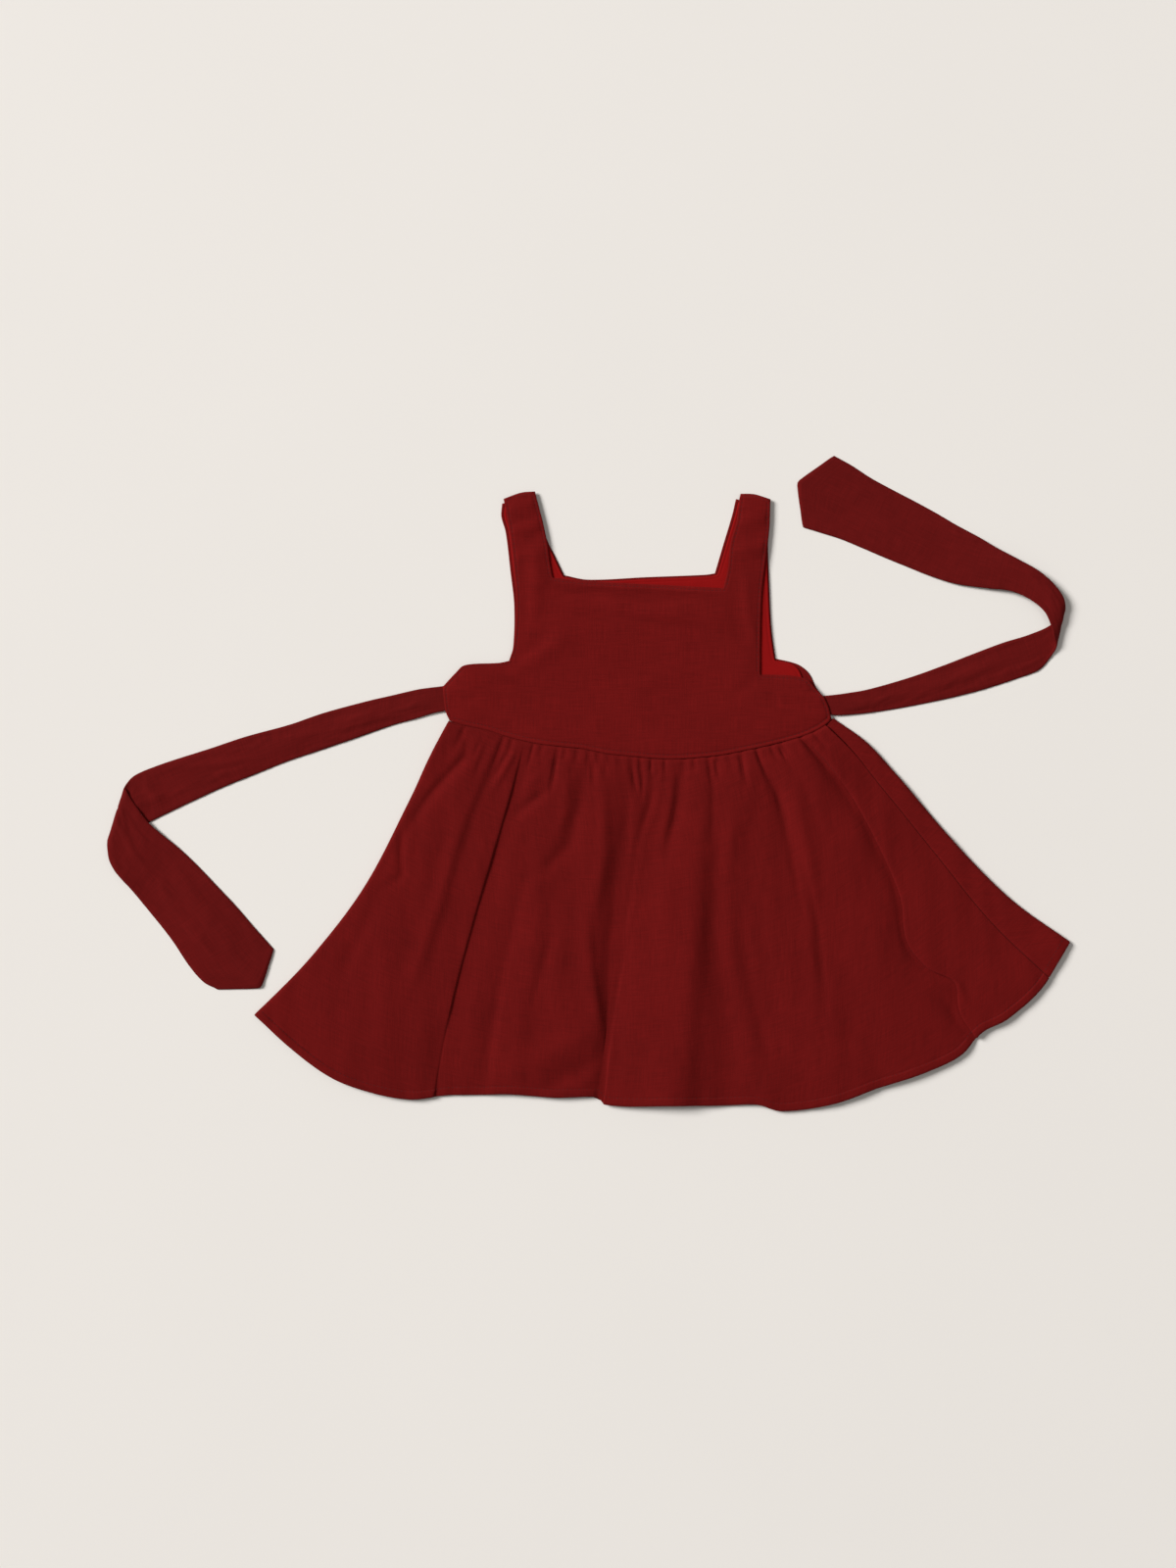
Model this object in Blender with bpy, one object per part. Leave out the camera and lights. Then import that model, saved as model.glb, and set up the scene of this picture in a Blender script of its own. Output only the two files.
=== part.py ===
"""A toddler's sleeveless pinafore dress in plain dark red cotton, laid flat with its front up.

The dress lies on the plane z = 0 with its back down. X runs across the dress, Y from hem to straps,
and every table below is in millimetres and degrees. Each piece that a maker cuts is one closed wall.
The skirt is a flared ring: its folds follow lines given as angles about the point where its sides
would meet, 0 straight down and positive to the right, at stations from the waist (0) to the hem (1).
"""

import bisect
import math

import bmesh
import bpy
from mathutils.geometry import delaunay_2d_cdt

MM = 0.001

# The object's own origin, the middle of its outline
CENTRE_X = 0.2
CENTRE_Y = 0.5

# Cloth walls
CLOTH = 1.0
DOUBLE_CLOTH = 1.6
TIE_CLOTH = 1.4
SEAM_GAP = 0.3
BACK_SEAM_GAP = 0.5

# How the layers lie on each other, as heights of each wall's lower face. The skirt front's top
# edge and the ties' roots lie between back and front too, where the lining stops short of them.
LINING_BASE = CLOTH + SEAM_GAP
FRONT_BASE = LINING_BASE + CLOTH + SEAM_GAP

# The skirt's ring
APEX_X, APEX_Y = 11.9, 198.1
TUCK = 6.0
LOWEST_FRONT = LINING_BASE + CLOTH / 2
COLUMNS_PER_LINE = 2
BACK_FLAT_LINES = 13
# The rows run from close under the waist seam to the turned hem, and get wider on the way
ROWS_ABOVE_HEM = 19
FIRST_ROW, LAST_ROW, ROW_SPREAD = 0.003, 0.974, 1.5
HEM_TURN = 0.979
# The turned hem is thicker on its upper side, wherever the cloth lies clear of the back
HEM_EXTRA = 0.5
HEM_CLEAR = (2.2, 3.0)

# angle, radius of the waist seam, radius of the hem
SKIRT_RING = (
    (-37.0, 189.5, 440.0),
    (-34.4, 187.5, 440.5),
    (-30.0, 182.6, 446.6),
    (-27.0, 180.0, 450.3),
    (-24.7, 179.2, 451.5),
    (-21.0, 177.9, 449.0),
    (-18.0, 176.8, 444.6),
    (-15.0, 175.8, 434.8),
    (-12.0, 174.8, 429.0),
    (-9.0, 174.0, 424.4),
    (-5.0, 173.9, 423.0),
    (-0.7, 175.9, 421.4),
    (0.0, 176.4, 426.4),
    (6.3, 179.6, 429.5),
    (12.0, 184.2, 436.5),
    (14.4, 186.3, 440.5),
    (16.2, 187.8, 449.0),
    (21.0, 192.0, 456.2),
    (25.0, 196.0, 458.0),
    (29.9, 201.0, 464.2),
    (33.0, 205.0, 466.4),
    (35.7, 208.7, 461.5),
    (38.0, 212.2, 464.6),
    (42.0, 218.3, 464.0),
    (45.0, 221.5, 458.0),
    (48.0, 222.5, 452.5),
)

STATIONS = (0.0, 0.12, 0.25, 0.5, 0.75, 1.0)

# Where the skirt's two side seams and its two fold edges run
LEFT_SEAM = (-33.6, -32.4, -31.2, -30.1, -30.7, -32.1)
LEFT_FOLD = (-35.9, -34.8, -33.5, -32.2, -32.9, -34.5)
RIGHT_SEAM = (45.3, 45.3, 44.6, 43.6, 42.9, 43.3)
RIGHT_FOLD = (47.0, 47.8, 47.3, 46.1, 45.8, 46.8)

# How a panel turns round a side fold and ends at its seam: distance along the ring from the fold's
# edge or the seam, and heights at the stations
FLAT = (0.5, 0.5, 0.5, 0.5, 0.5, 0.5)
LEFT_TURN = (
    (5.0, FLAT),
    (1.2, FLAT),
    (-0.9, (1.5, 1.7, 1.8, 1.8, 1.8, 1.8)),
    (0.8, (2.6, 3.1, 3.2, 3.2, 3.2, 3.1)),
    (3.0, (2.4, 3.2, 3.4, 3.4, 3.4, 3.3)),
)
RIGHT_TURN = (
    (-8.0, FLAT),
    (-4.0, FLAT),
    (-1.0, FLAT),
    (1.0, (1.5, 1.8, 1.9, 1.9, 1.9, 1.9)),
    (-0.6, (2.5, 3.2, 3.2, 3.2, 3.2, 3.2)),
    (-2.6, (2.5, 3.4, 3.4, 3.4, 3.4, 3.4)),
    (-4.6, (2.2, 3.5, 3.5, 3.5, 3.5, 3.4)),
)
BY_THE_SEAM = -5.0, (1.8, 3.7, 3.8, 3.8, 3.8, 3.6)
SEAM_HEIGHTS = (1.8, 3.4, 3.4, 3.4, 3.4, 3.4)

# The skirt front's lines from left to right: kind, angles at the stations, heights at the stations.
# A line is a soft ridge or valley. A fold is an edge where one side lies on the other: its heights
# are those of the side on top, and it gives way to the lines that fold_lines() makes.
SKIRT_LINES = (
    ("valley", (-31.3, -30.3, -32.0, -31.0, -31.5, -32.8), (1.8, 2.0, 2.8, 3.6, 3.7, 3.4)),
    ("ridge", (-29.4, -28.8, -29.6, -29.0, -28.8, -29.6), (1.8, 4.2, 4.2, 4.2, 4.2, 3.9)),
    ("ridge", (-27.0, -26.4, -26.8, -26.0, -25.2, -25.2), (1.8, 4.6, 5.0, 5.2, 5.2, 4.8)),
    ("valley", (-24.2, -23.8, -23.7, -22.6, -21.8, -21.6), (1.8, 2.4, 2.6, 3.2, 4.6, 5.0)),
    ("left on top", (-19.3, -18.7, -18.2, -17.8, -17.2, -16.2), (1.8, 4.2, 4.5, 4.6, 4.6, 4.6)),
    ("slope", (-16.2, -15.8, -15.6, -15.0, -14.6, -14.0), (1.8, 3.6, 3.4, 3.3, 3.2, 3.0)),
    ("valley", (-12.6, -12.4, -13.2, -13.1, -12.7, -12.1), (1.8, 3.8, 3.2, 2.7, 2.7, 2.4)),
    ("ridge", (-8.6, -8.9, -10.8, -11.2, -10.9, -10.3), (1.8, 4.6, 5.0, 5.2, 5.1, 4.8)),
    ("valley", (-4.8, -5.1, -6.3, -7.4, -8.3, -8.2), (1.8, 2.6, 2.0, 2.8, 3.6, 3.8)),
    ("ridge", (-1.6, -1.5, -1.9, -3.6, -2.0, -3.6), (1.8, 4.8, 5.4, 5.4, 5.8, 4.8)),
    ("valley", (4.2, 3.2, 1.2, -1.4, -0.5, -1.7), (1.8, 2.6, 1.9, 2.1, 3.8, 3.4)),
    ("slope", (8.4, 6.6, 3.6, 1.0, 0.2, -0.9), (1.8, 4.4, 3.4, 1.9, 1.9, 1.9)),
    ("right on top", (11.8, 9.8, 6.4, 3.1, 1.0, -0.1), (1.8, 4.6, 4.8, 4.8, 4.6, 5.0)),
    ("slope", (17.4, 14.8, 10.8, 6.6, 4.5, 3.2), (1.8, 4.2, 5.2, 6.6, 6.6, 6.8)),
    ("ridge", (20.4, 18.0, 14.8, 11.8, 9.2, 7.4), (1.8, 4.8, 7.0, 10.0, 10.4, 10.2)),
    ("step", (23.2, 20.6, 16.9, 13.2, 10.5, 8.5), (1.8, 4.0, 4.6, 5.4, 5.4, 5.2)),
    ("slope", (25.6, 22.6, 18.8, 15.2, 12.8, 11.0), (1.8, 3.4, 2.8, 2.2, 2.0, 2.0)),
    ("ridge", (29.8, 26.6, 21.2, 17.0, 15.0, 13.4), (1.8, 5.2, 5.6, 5.8, 5.8, 5.6)),
    ("valley", (31.0, 28.8, 23.8, 19.4, 17.8, 16.4), (1.8, 3.8, 3.8, 3.0, 2.6, 2.2)),
    ("ridge", (31.8, 30.0, 26.4, 22.0, 20.6, 19.2), (1.8, 4.2, 4.6, 4.8, 4.6, 4.2)),
    ("valley", (32.7, 31.5, 30.0, 24.6, 22.6, 21.4), (1.8, 2.2, 2.8, 4.2, 4.8, 4.8)),
    ("ridge", (34.6, 33.4, 31.6, 26.6, 24.0, 23.0), (1.8, 5.0, 6.0, 6.2, 5.6, 5.2)),
    ("valley", (36.2, 35.4, 33.6, 28.6, 25.6, 24.8), (1.8, 3.6, 3.8, 3.6, 3.8, 4.4)),
    ("ridge", (37.4, 36.8, 35.2, 31.6, 29.2, 28.6), (1.8, 4.8, 5.2, 5.4, 5.2, 4.8)),
    ("ridge", (39.2, 38.4, 37.9, 35.5, 33.6, 34.1), (1.8, 4.4, 4.7, 4.7, 4.5, 4.1)),
    ("right on top", (40.6, 40.1, 39.4, 36.8, 34.6, 35.0), (1.8, 4.6, 4.8, 4.9, 5.0, 4.9)),
    ("slope", (43.6, 43.6, 42.4, 40.7, 39.4, 39.8), (1.8, 4.2, 4.4, 4.6, 4.6, 4.4)),
)

# The gathers at the waist seam, each a short crease between two puffs: angle, depth, length
GATHERS = (
    (-32.4, 1.0, 24),
    (-29.9, 1.5, 40),
    (-27.2, 1.0, 24),
    (-25.0, 1.5, 50),
    (-22.4, 1.0, 26),
    (-20.3, 1.5, 30),
    (-17.0, 1.5, 30),
    (-14.4, 1.0, 26),
    (-11.9, 1.7, 45),
    (-9.5, 1.0, 26),
    (-7.2, 1.4, 32),
    (-4.0, 1.2, 30),
    (-0.7, 1.5, 40),
    (2.3, 1.4, 34),
    (6.3, 1.8, 50),
    (9.1, 1.5, 42),
    (12.6, 1.2, 28),
    (16.4, 1.7, 46),
    (19.5, 1.5, 40),
    (22.5, 1.4, 34),
    (25.2, 1.4, 34),
    (28.2, 1.5, 44),
    (30.5, 1.2, 28),
    (32.6, 1.5, 50),
    (35.4, 1.2, 30),
    (37.8, 1.2, 30),
    (40.2, 1.5, 40),
    (42.6, 1.2, 26),
)
GATHER_HALF_WIDTH = 1.25
GATHER_PUFF = 1.7
PUFF_START, PUFF_FULL, PUFF_FADES, PUFF_ENDS = 0.4, 5.0, 8.0, 46.0

# How a fold's edge turns under: steps along the ring, and heights from 0 (under) to 1 (on top)
FOLD_EDGE = (
    # laid open at the waist, folded, height
    (4.4, 4.6, 1.0),
    (2.4, 0.2, 1.0),
    (0.8, -0.9, 0.72),
    (-0.8, 1.6, 0.42),
    (-2.4, 1.0, 0.0),
    (-4.2, -3.4, 0.0),
)
# A fold this high starts to lie over its own edge, and one this high does so fully
OVERLAP_HEIGHTS = (3.0, 5.5)

# Outlines of the bodice, front and back: x, y, and whether the outline turns a corner there.
# Each runs from the left shoulder down its inner side and round; the waist seam closes it.
FRONT_OUTLINE = (
    (-60.2, 203.3, True),
    (-47.6, 208.0, False),
    (-37.8, 208.6, True),
    (-37.0, 205.4, True),
    (-32.2, 186.9, False),
    (-28.9, 170.8, False),
    (-27.0, 157.0, False),
    (-25.2, 147.2, True),
    (0.0, 144.5, False),
    (49.0, 142.1, False),
    (96.4, 139.6, True),
    (99.7, 153.3, False),
    (101.5, 170.8, False),
    (106.0, 187.9, False),
    (108.0, 203.8, True),
    (108.9, 207.2, True),
    (119.0, 206.8, False),
    (130.2, 203.0, True),
    (130.0, 199.9, True),
    (129.3, 181.3, False),
    (125.8, 153.3, False),
    (123.9, 135.8, False),
    (123.0, 112.0, False),
    (122.8, 78.0, True),
    (144.0, 77.3, False),
    (156.5, 74.5, False),
    (161.5, 68.9, False),
    (168.3, 61.9, True),
    (171.5, 54.6, False),
    "waist",
    (-101.8, 52.5, False),
    (-103.6, 69.3, True),
    (-94.5, 79.1, False),
    (-88.0, 84.7, False),
    (-63.0, 86.4, False),
    (-56.3, 87.8, True),
    (-53.2, 98.0, False),
    (-51.1, 126.7, False),
    (-52.5, 149.8, False),
    (-56.0, 179.9, False),
    (-59.6, 200.2, True),
)

BACK_OUTLINE = (
    (-61.3, 200.2, True),
    (-37.2, 204.9, True),
    (-34.3, 189.0, False),
    (-28.6, 172.9, False),
    (-23.8, 163.1, False),
    (-17.1, 149.1, True),
    (0.0, 145.9, False),
    (42.0, 147.7, False),
    (84.0, 149.4, False),
    (90.6, 150.4, True),
    (96.6, 170.8, False),
    (102.9, 191.8, False),
    (105.6, 203.4, True),
    (129.8, 199.4, True),
    (128.6, 170.8, False),
    (129.3, 144.2, False),
    (130.9, 112.0, False),
    (133.8, 89.5, True),
    (145.2, 87.0, False),
    (151.5, 84.5, False),
    (157.8, 79.0, False),
    (162.6, 69.5, False),
    (168.1, 61.9, True),
    (171.5, 54.6, False),
    "waist",
    (-101.6, 52.5, False),
    (-103.4, 69.3, True),
    (-94.5, 78.8, False),
    (-88.0, 84.3, False),
    (-63.0, 86.1, False),
    (-56.3, 87.5, True),
    (-53.4, 98.0, False),
    (-52.7, 127.4, False),
    (-55.3, 151.2, False),
    (-58.8, 179.9, False),
    (-61.9, 191.1, False),
)
WAIST_ENDS = (-35.9, 46.7)

# The lining follows the back above LINING_TOP, and stops short of the side seams and the waist
LINING_TOP = 84.8
LINING_SIDES = (
    (150.6, 82.8, False),
    (153.6, 76.5, True),
    (151.0, 62.0, True),
    (150.0, 50.0, True),
    "waist",
    (-90.5, 58.0, True),
    (-90.5, 75.0, True),
    (-88.0, 82.0, False),
)
LINING_ENDS = (-31.0, 39.0)
LINING_SHORT = TUCK + 1.5

# Where the front is lifted by the tie roots under it: x, y, lower face's height, full reach, last
# reach
FRONT_LIFTS = (
    (-98.0, 61.0, 3.0, 12.0, 34.0),
    (167.0, 55.0, 3.0, 12.0, 34.0),
)
# Shallow creases and puffs in the bodice front: x, y, half length, half width, slope, height
FRONT_RELIEF = (
    (20.0, 134.0, 52.0, 5.0, -3.0, 0.7),
    (70.0, 129.0, 40.0, 5.0, 4.0, 0.6),
    (48.0, 76.0, 26.0, 5.0, 6.0, 0.7),
    (-36.0, 92.0, 24.0, 8.0, 42.0, 0.9),
    (104.0, 96.0, 26.0, 8.0, -50.0, 0.8),
    (-52.0, 192.0, 9.0, 3.0, 8.0, 0.5),
    (114.0, 180.0, 10.0, 3.0, -6.0, 0.5),
)
# The straps' ends: x, y, slant. Each rolls down to a thin edge over a depth, and the rows of places
# on it lie at these depths
SHOULDERS = ((-48.9, 208.4, 11.5), (119.5, 206.6, -4.5))
SHOULDER_ROLL = 2.8
SHOULDER_EDGE_LOW, SHOULDER_EDGE_TOP, SHOULDER_EDGE_SHARE = 0.3, 0.6, 0.35
SHOULDER_DEPTHS, SHOULDER_SPACING = (0.9, 1.9, 3.0), 5.0
SHOULDER_CLEAR = 0.9
STRAP_WIDTH = 20.0
PANEL_STEP = 9.0
OUTLINE_STEP = 7.0

# The ties: one edge x, y, other edge x, y, height of the cloth's middle, arch, point of the end
LEFT_TIE = (
    (-94.6, 70.9, -93.6, 54.6, 2.0, 0.0, 0.0),
    (-103.6, 69.6, -101.8, 52.5, 2.0, 0.0, 0.0),
    (-112.0, 68.6, -111.3, 50.4, 1.3, 0.3, 0.0),
    (-121.8, 67.2, -122.5, 46.9, 0.7, 0.6, 0.0),
    (-140.0, 63.0, -140.0, 42.0, 0.7, 0.6, 0.0),
    (-158.2, 58.8, -163.8, 33.6, 0.7, 0.9, 0.0),
    (-189.0, 50.4, -188.3, 25.2, 0.7, 0.5, 0.0),
    (-213.5, 42.0, -213.5, 16.8, 0.7, 1.0, 0.0),
    (-244.3, 33.6, -234.5, 8.4, 0.7, 0.6, 0.0),
    (-269.5, 25.2, -255.5, 0.0, 0.7, 0.4, 0.0),
    (-296.1, 16.8, -274.4, -8.4, 0.7, 0.2, 0.0),
    (-311.6, 11.3, -303.0, -22.0, 0.7, 0.0, 0.0),
    (-321.5, 7.1, -330.6, -35.8, 0.7, 0.0, 0.0),
    (-326.6, 3.6, -339.3, -39.0, 0.75, 0.0, 0.0),
    (-330.4, -2.0, -342.8, -41.4, 1.6, 0.0, 0.0),
    (-329.0, -5.2, -342.4, -48.6, 2.55, 0.0, 0.0),
    (-326.0, -10.6, -341.2, -54.6, 2.65, 0.0, 0.0),
    (-320.6, -18.4, -337.6, -61.5, 2.6, 0.0, 0.0),
    (-313.4, -27.8, -332.0, -68.4, 2.5, 0.1, 0.0),
    (-303.8, -36.4, -326.6, -74.2, 1.9, 0.2, 0.0),
    (-291.9, -46.2, -320.2, -82.0, 1.0, 0.4, 0.0),
    (-278.6, -58.8, -312.9, -91.0, 0.7, 0.7, 0.0),
    (-264.6, -73.5, -303.8, -102.2, 0.7, 0.9, 0.0),
    (-252.0, -86.8, -295.4, -113.4, 0.7, 0.9, 0.0),
    (-238.7, -102.2, -284.2, -130.2, 0.7, 0.6, 0.0),
    (-229.6, -112.4, -274.0, -141.6, 0.7, 0.4, 9.0),
    (-224.6, -118.0, -264.4, -146.6, 0.7, 0.3, 18.5),
)
RIGHT_TIE = (
    (161.5, 61.4, 165.4, 50.0, 2.0, 0.0, 0.0),
    (168.0, 62.6, 172.9, 49.4, 2.0, 0.0, 0.0),
    (175.0, 63.3, 179.2, 49.2, 1.5, 0.2, 0.0),
    (183.4, 64.4, 187.6, 49.7, 0.9, 0.4, 0.0),
    (199.5, 67.2, 199.5, 50.8, 0.7, 0.6, 0.0),
    (228.9, 75.6, 224.0, 54.6, 0.7, 0.8, 0.0),
    (252.7, 84.0, 255.5, 60.9, 0.7, 0.5, 0.0),
    (274.4, 92.4, 280.7, 67.2, 0.7, 0.8, 0.0),
    (296.8, 100.8, 306.6, 75.6, 0.7, 0.6, 0.0),
    (315.0, 106.4, 322.0, 81.6, 0.8, 0.2, 0.0),
    (330.4, 113.4, 330.2, 90.6, 1.0, 0.0, 0.0),
    (339.4, 123.2, 333.8, 98.0, 3.2, 0.0, 0.0),
    (339.2, 130.6, 331.4, 104.6, 5.4, 0.0, 0.0),
    (335.6, 137.2, 329.4, 113.1, 6.0, 0.0, 0.0),
    (329.7, 144.2, 325.0, 122.7, 5.8, 0.1, 0.0),
    (320.6, 151.9, 315.4, 131.2, 5.2, 0.3, 0.0),
    (307.3, 159.6, 301.4, 137.6, 4.3, 0.5, 0.0),
    (291.9, 168.0, 285.6, 139.6, 3.2, 0.6, 0.0),
    (277.9, 176.4, 263.2, 142.8, 2.1, 0.6, 0.0),
    (262.5, 184.8, 245.0, 148.4, 1.3, 0.6, 0.0),
    (248.5, 193.2, 227.5, 155.4, 0.7, 1.3, 0.0),
    (233.1, 201.6, 212.1, 161.7, 0.7, 1.0, 0.0),
    (217.0, 210.0, 197.4, 168.0, 0.7, 0.8, 0.0),
    (201.6, 218.4, 180.6, 175.0, 0.7, 0.6, 0.0),
    (187.6, 227.5, 165.2, 179.9, 0.7, 0.4, 8.0),
    (175.7, 234.1, 153.7, 183.4, 0.7, 0.3, 17.0),
)
TIE_ACROSS = 6
TIE_STEP = 8.0
# How far the left tie's point leans across, as a share of how far it reaches out
TIP_LEAN = 0.27

# Colours by eye from the cloth, in sRGB from 0 to 255
RED_CLOTH = (104, 21, 20)
SKIRT_CLOTH = (99, 20, 19)
LINING_CLOTH = (132, 21, 20)


def linear(colour):
    """An sRGB colour as the linear values that a shader takes."""
    out = []
    for value in colour:
        share = value / 255
        out.append(share / 12.92 if share <= 0.04045 else ((share + 0.055) / 1.055) ** 2.4)
    return (*out, 1.0)


def cloth_material(name, colour):
    """A plain matt cotton finish."""
    material = bpy.data.materials.new(name)
    material.use_nodes = True
    shader = material.node_tree.nodes["Principled BSDF"]
    shader.inputs["Base Color"].default_value = linear(colour)
    shader.inputs["Roughness"].default_value = 0.9
    shader.inputs["Metallic"].default_value = 0.0
    return material


def smooth_step(x, low, high):
    """0 below low, 1 above high, and an even ramp between."""
    share = min(max((x - low) / (high - low), 0.0), 1.0)
    return share * share * (3 - 2 * share)


def smooth_value(places, values, at):
    """A value read from a short table by a curve through its rows."""
    at = min(max(at, places[0]), places[-1])
    i = min(max(bisect.bisect_right(places, at) - 1, 0), len(places) - 2)
    span = places[i + 1] - places[i]
    share = (at - places[i]) / span
    slopes = []
    for k in (i, i + 1):
        low, high = max(k - 1, 0), min(k + 1, len(places) - 1)
        slopes.append((values[high] - values[low]) / (places[high] - places[low]) * span)
    squared, cubed = share * share, share**3
    return (
        values[i] * (2 * cubed - 3 * squared + 1)
        + slopes[0] * (cubed - 2 * squared + share)
        + values[i + 1] * (3 * squared - 2 * cubed)
        + slopes[1] * (cubed - squared)
    )


def waist_radius(angle):
    return smooth_value([row[0] for row in SKIRT_RING], [row[1] for row in SKIRT_RING], angle)


def hem_radius(angle):
    return smooth_value([row[0] for row in SKIRT_RING], [row[2] for row in SKIRT_RING], angle)


def ring_point(angle, radius):
    """A place on the ring that the skirt spreads to."""
    turn = math.radians(angle)
    return APEX_X + radius * math.sin(turn), APEX_Y - radius * math.cos(turn)


def add_object(name, points, faces, material):
    """One closed wall as an object, its faces turned outwards and its points in metres."""
    mesh = bpy.data.meshes.new(name)
    shifted = [((x - CENTRE_X) * MM, (y - CENTRE_Y) * MM, z * MM) for x, y, z in points]
    mesh.from_pydata(shifted, [], faces)
    work = bmesh.new()
    work.from_mesh(mesh)
    bmesh.ops.recalc_face_normals(work, faces=work.faces[:])
    work.to_mesh(mesh)
    work.free()
    mesh.materials.append(material)
    mesh.shade_smooth()
    mesh.set_sharp_from_angle(angle=math.radians(40))
    piece = bpy.data.objects.new(name, mesh)
    bpy.context.collection.objects.link(piece)
    return piece


def subtract(a, b):
    return [a[k] - b[k] for k in range(3)]


def normal_of(along, across):
    """The unit vector square to two directions."""
    n = [
        along[1] * across[2] - along[2] * across[1],
        along[2] * across[0] - along[0] * across[2],
        along[0] * across[1] - along[1] * across[0],
    ]
    size = max(math.sqrt(sum(v * v for v in n)), 1e-9)
    return [v / size for v in n]


def wall_from_grid(name, grid, thick, material):
    """A wall about a grid of middle points, grid[row][column].

    thick gives the half thickness on the outer and inner side, from a row, a normal and a height.
    """
    rows, columns = len(grid), len(grid[0])
    outer, inner = [], []
    for j in range(rows):
        for i in range(columns):
            along = subtract(grid[min(j + 1, rows - 1)][i], grid[max(j - 1, 0)][i])
            across = subtract(grid[j][min(i + 1, columns - 1)], grid[j][max(i - 1, 0)])
            n = normal_of(along, across)
            middle = grid[j][i]
            out, back = thick(j, n, middle[2])
            outer.append([middle[k] + n[k] * out for k in range(3)])
            inner.append([middle[k] - n[k] * back for k in range(3)])
    count = rows * columns
    faces = []
    for j in range(rows - 1):
        for i in range(columns - 1):
            a, b = j * columns + i, j * columns + i + 1
            c, d = b + columns, a + columns
            faces.append((a, b, c, d))
            faces.append((d + count, c + count, b + count, a + count))
    rim = list(range(columns))
    rim += [j * columns + columns - 1 for j in range(1, rows)]
    rim += [(rows - 1) * columns + i for i in range(columns - 2, -1, -1)]
    rim += [j * columns for j in range(rows - 2, 0, -1)]
    for k, here in enumerate(rim):
        after = rim[(k + 1) % len(rim)]
        faces.append((here, here + count, after + count, after))
    return add_object(name, outer + inner, faces, material)


def fold_lines(kind, angles, heights):
    """The lines that a fold's edge turns through, for the side that lies on top."""
    side = -1 if kind == "right on top" else 1
    lines = []
    for open_step, folded_step, height in FOLD_EDGE:
        turned, levels = [], []
        for station, angle, top in zip(STATIONS, angles, heights):
            under = LOWEST_FRONT if station else heights[0]
            share = smooth_step(station, 0.0, 0.25) * smooth_step(top - under, *OVERLAP_HEIGHTS)
            step = open_step * (1 - share) + folded_step * share
            radius = waist_radius(angle) * (1 - station) + hem_radius(angle) * station
            turned.append(angle - side * math.degrees(step / radius))
            levels.append(under + (top - under) * height)
        lines.append((turned, levels))
    return lines if side > 0 else lines[::-1]


def ring_shift(table, distance):
    """A seam or fold line moved along the ring by a distance."""
    moved = []
    for station, angle in zip(STATIONS, table):
        radius = waist_radius(angle) * (1 - station) + hem_radius(angle) * station
        moved.append(angle + math.degrees(distance / radius))
    return moved


def gather_height(angle, distance):
    """How far the gathers below the waist seam lower or raise the cloth."""
    start = smooth_step(distance, PUFF_START, PUFF_FULL)
    height = GATHER_PUFF * start * (1 - smooth_step(distance, PUFF_FADES, PUFF_ENDS))
    for place, depth, reach in GATHERS:
        off = abs(angle - place) / GATHER_HALF_WIDTH
        if off < 1:
            fade = start * (1 - smooth_step(distance, 0.25 * reach, reach))
            height -= depth * (1 - off * off) ** 2 * fade
    return height


def row_shares():
    """The rows from the waist seam to the hem as shares of the skirt's length."""
    steps = [(j / (ROWS_ABOVE_HEM - 1)) ** ROW_SPREAD for j in range(ROWS_ABOVE_HEM)]
    return [FIRST_ROW + (LAST_ROW - FIRST_ROW) * step for step in steps] + [HEM_TURN, 1.0]


def skirt_grid(lines, tucked, gathered):
    """Middle points of a skirt panel, from its lines and a row for each share of its length.

    tucked says of each line whether it runs up under the bodice front. The grid's columns follow
    an even blend of the lines, which keeps every fold as soft as cloth.
    """
    shares = row_shares()
    grid = []
    for row in range(-1, len(shares)):
        share = shares[max(row, 0)]
        line_points = []
        for (angles, heights), tuck in zip(lines, tucked):
            angle = smooth_value(STATIONS, angles, share)
            height = smooth_value(STATIONS, heights, share)
            line_points.append((angle, height, TUCK if tuck else -BACK_SEAM_GAP))
        middle = []
        for column, (angle, height, tuck) in enumerate(blended(line_points, COLUMNS_PER_LINE)):
            waist, hem = waist_radius(angle), hem_radius(angle)
            radius = waist + share * (hem - waist) if row >= 0 else waist - tuck
            if gathered and height > LOWEST_FRONT:
                first = grid[0][column][3] if grid else angle
                height = max(height + gather_height(first, radius - waist), LOWEST_FRONT)
            x, y = ring_point(angle, radius)
            middle.append((x, y, height, angle))
        grid.append(middle)
    return [[point[:3] for point in middle] for middle in grid]


def blended(points, per_span):
    """Points along an even cubic blend of control points, which starts and ends on them."""
    ends = [tuple(2 * a - b for a, b in zip(points[0], points[1]))]
    after = [tuple(2 * a - b for a, b in zip(points[-1], points[-2]))]
    row = ends + list(points) + after
    out = []
    spans = len(points) - 1
    for i in range(spans):
        for k in range(per_span):
            out.append(blend_at(row[i : i + 4], k / per_span))
    out.append(blend_at(row[spans - 1 : spans + 3], 1.0))
    return out


def blend_at(four, t):
    weights = (
        (1 - t) ** 3 / 6,
        (3 * t**3 - 6 * t * t + 4) / 6,
        (-3 * t**3 + 3 * t * t + 3 * t + 1) / 6,
        t**3 / 6,
    )
    return tuple(sum(w * p[k] for w, p in zip(weights, four)) for k in range(len(four[0])))


def hem_thickness(row_count):
    """Half thicknesses of a skirt wall: its hem is turned up, and thicker on its upper side."""

    def thick(row, n, height):
        extra = 0.0
        if row >= row_count - 2:
            extra = HEM_EXTRA * max(n[2], 0.0) * smooth_step(height, *HEM_CLEAR)
        return CLOTH / 2 + extra, CLOTH / 2

    return thick


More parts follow.
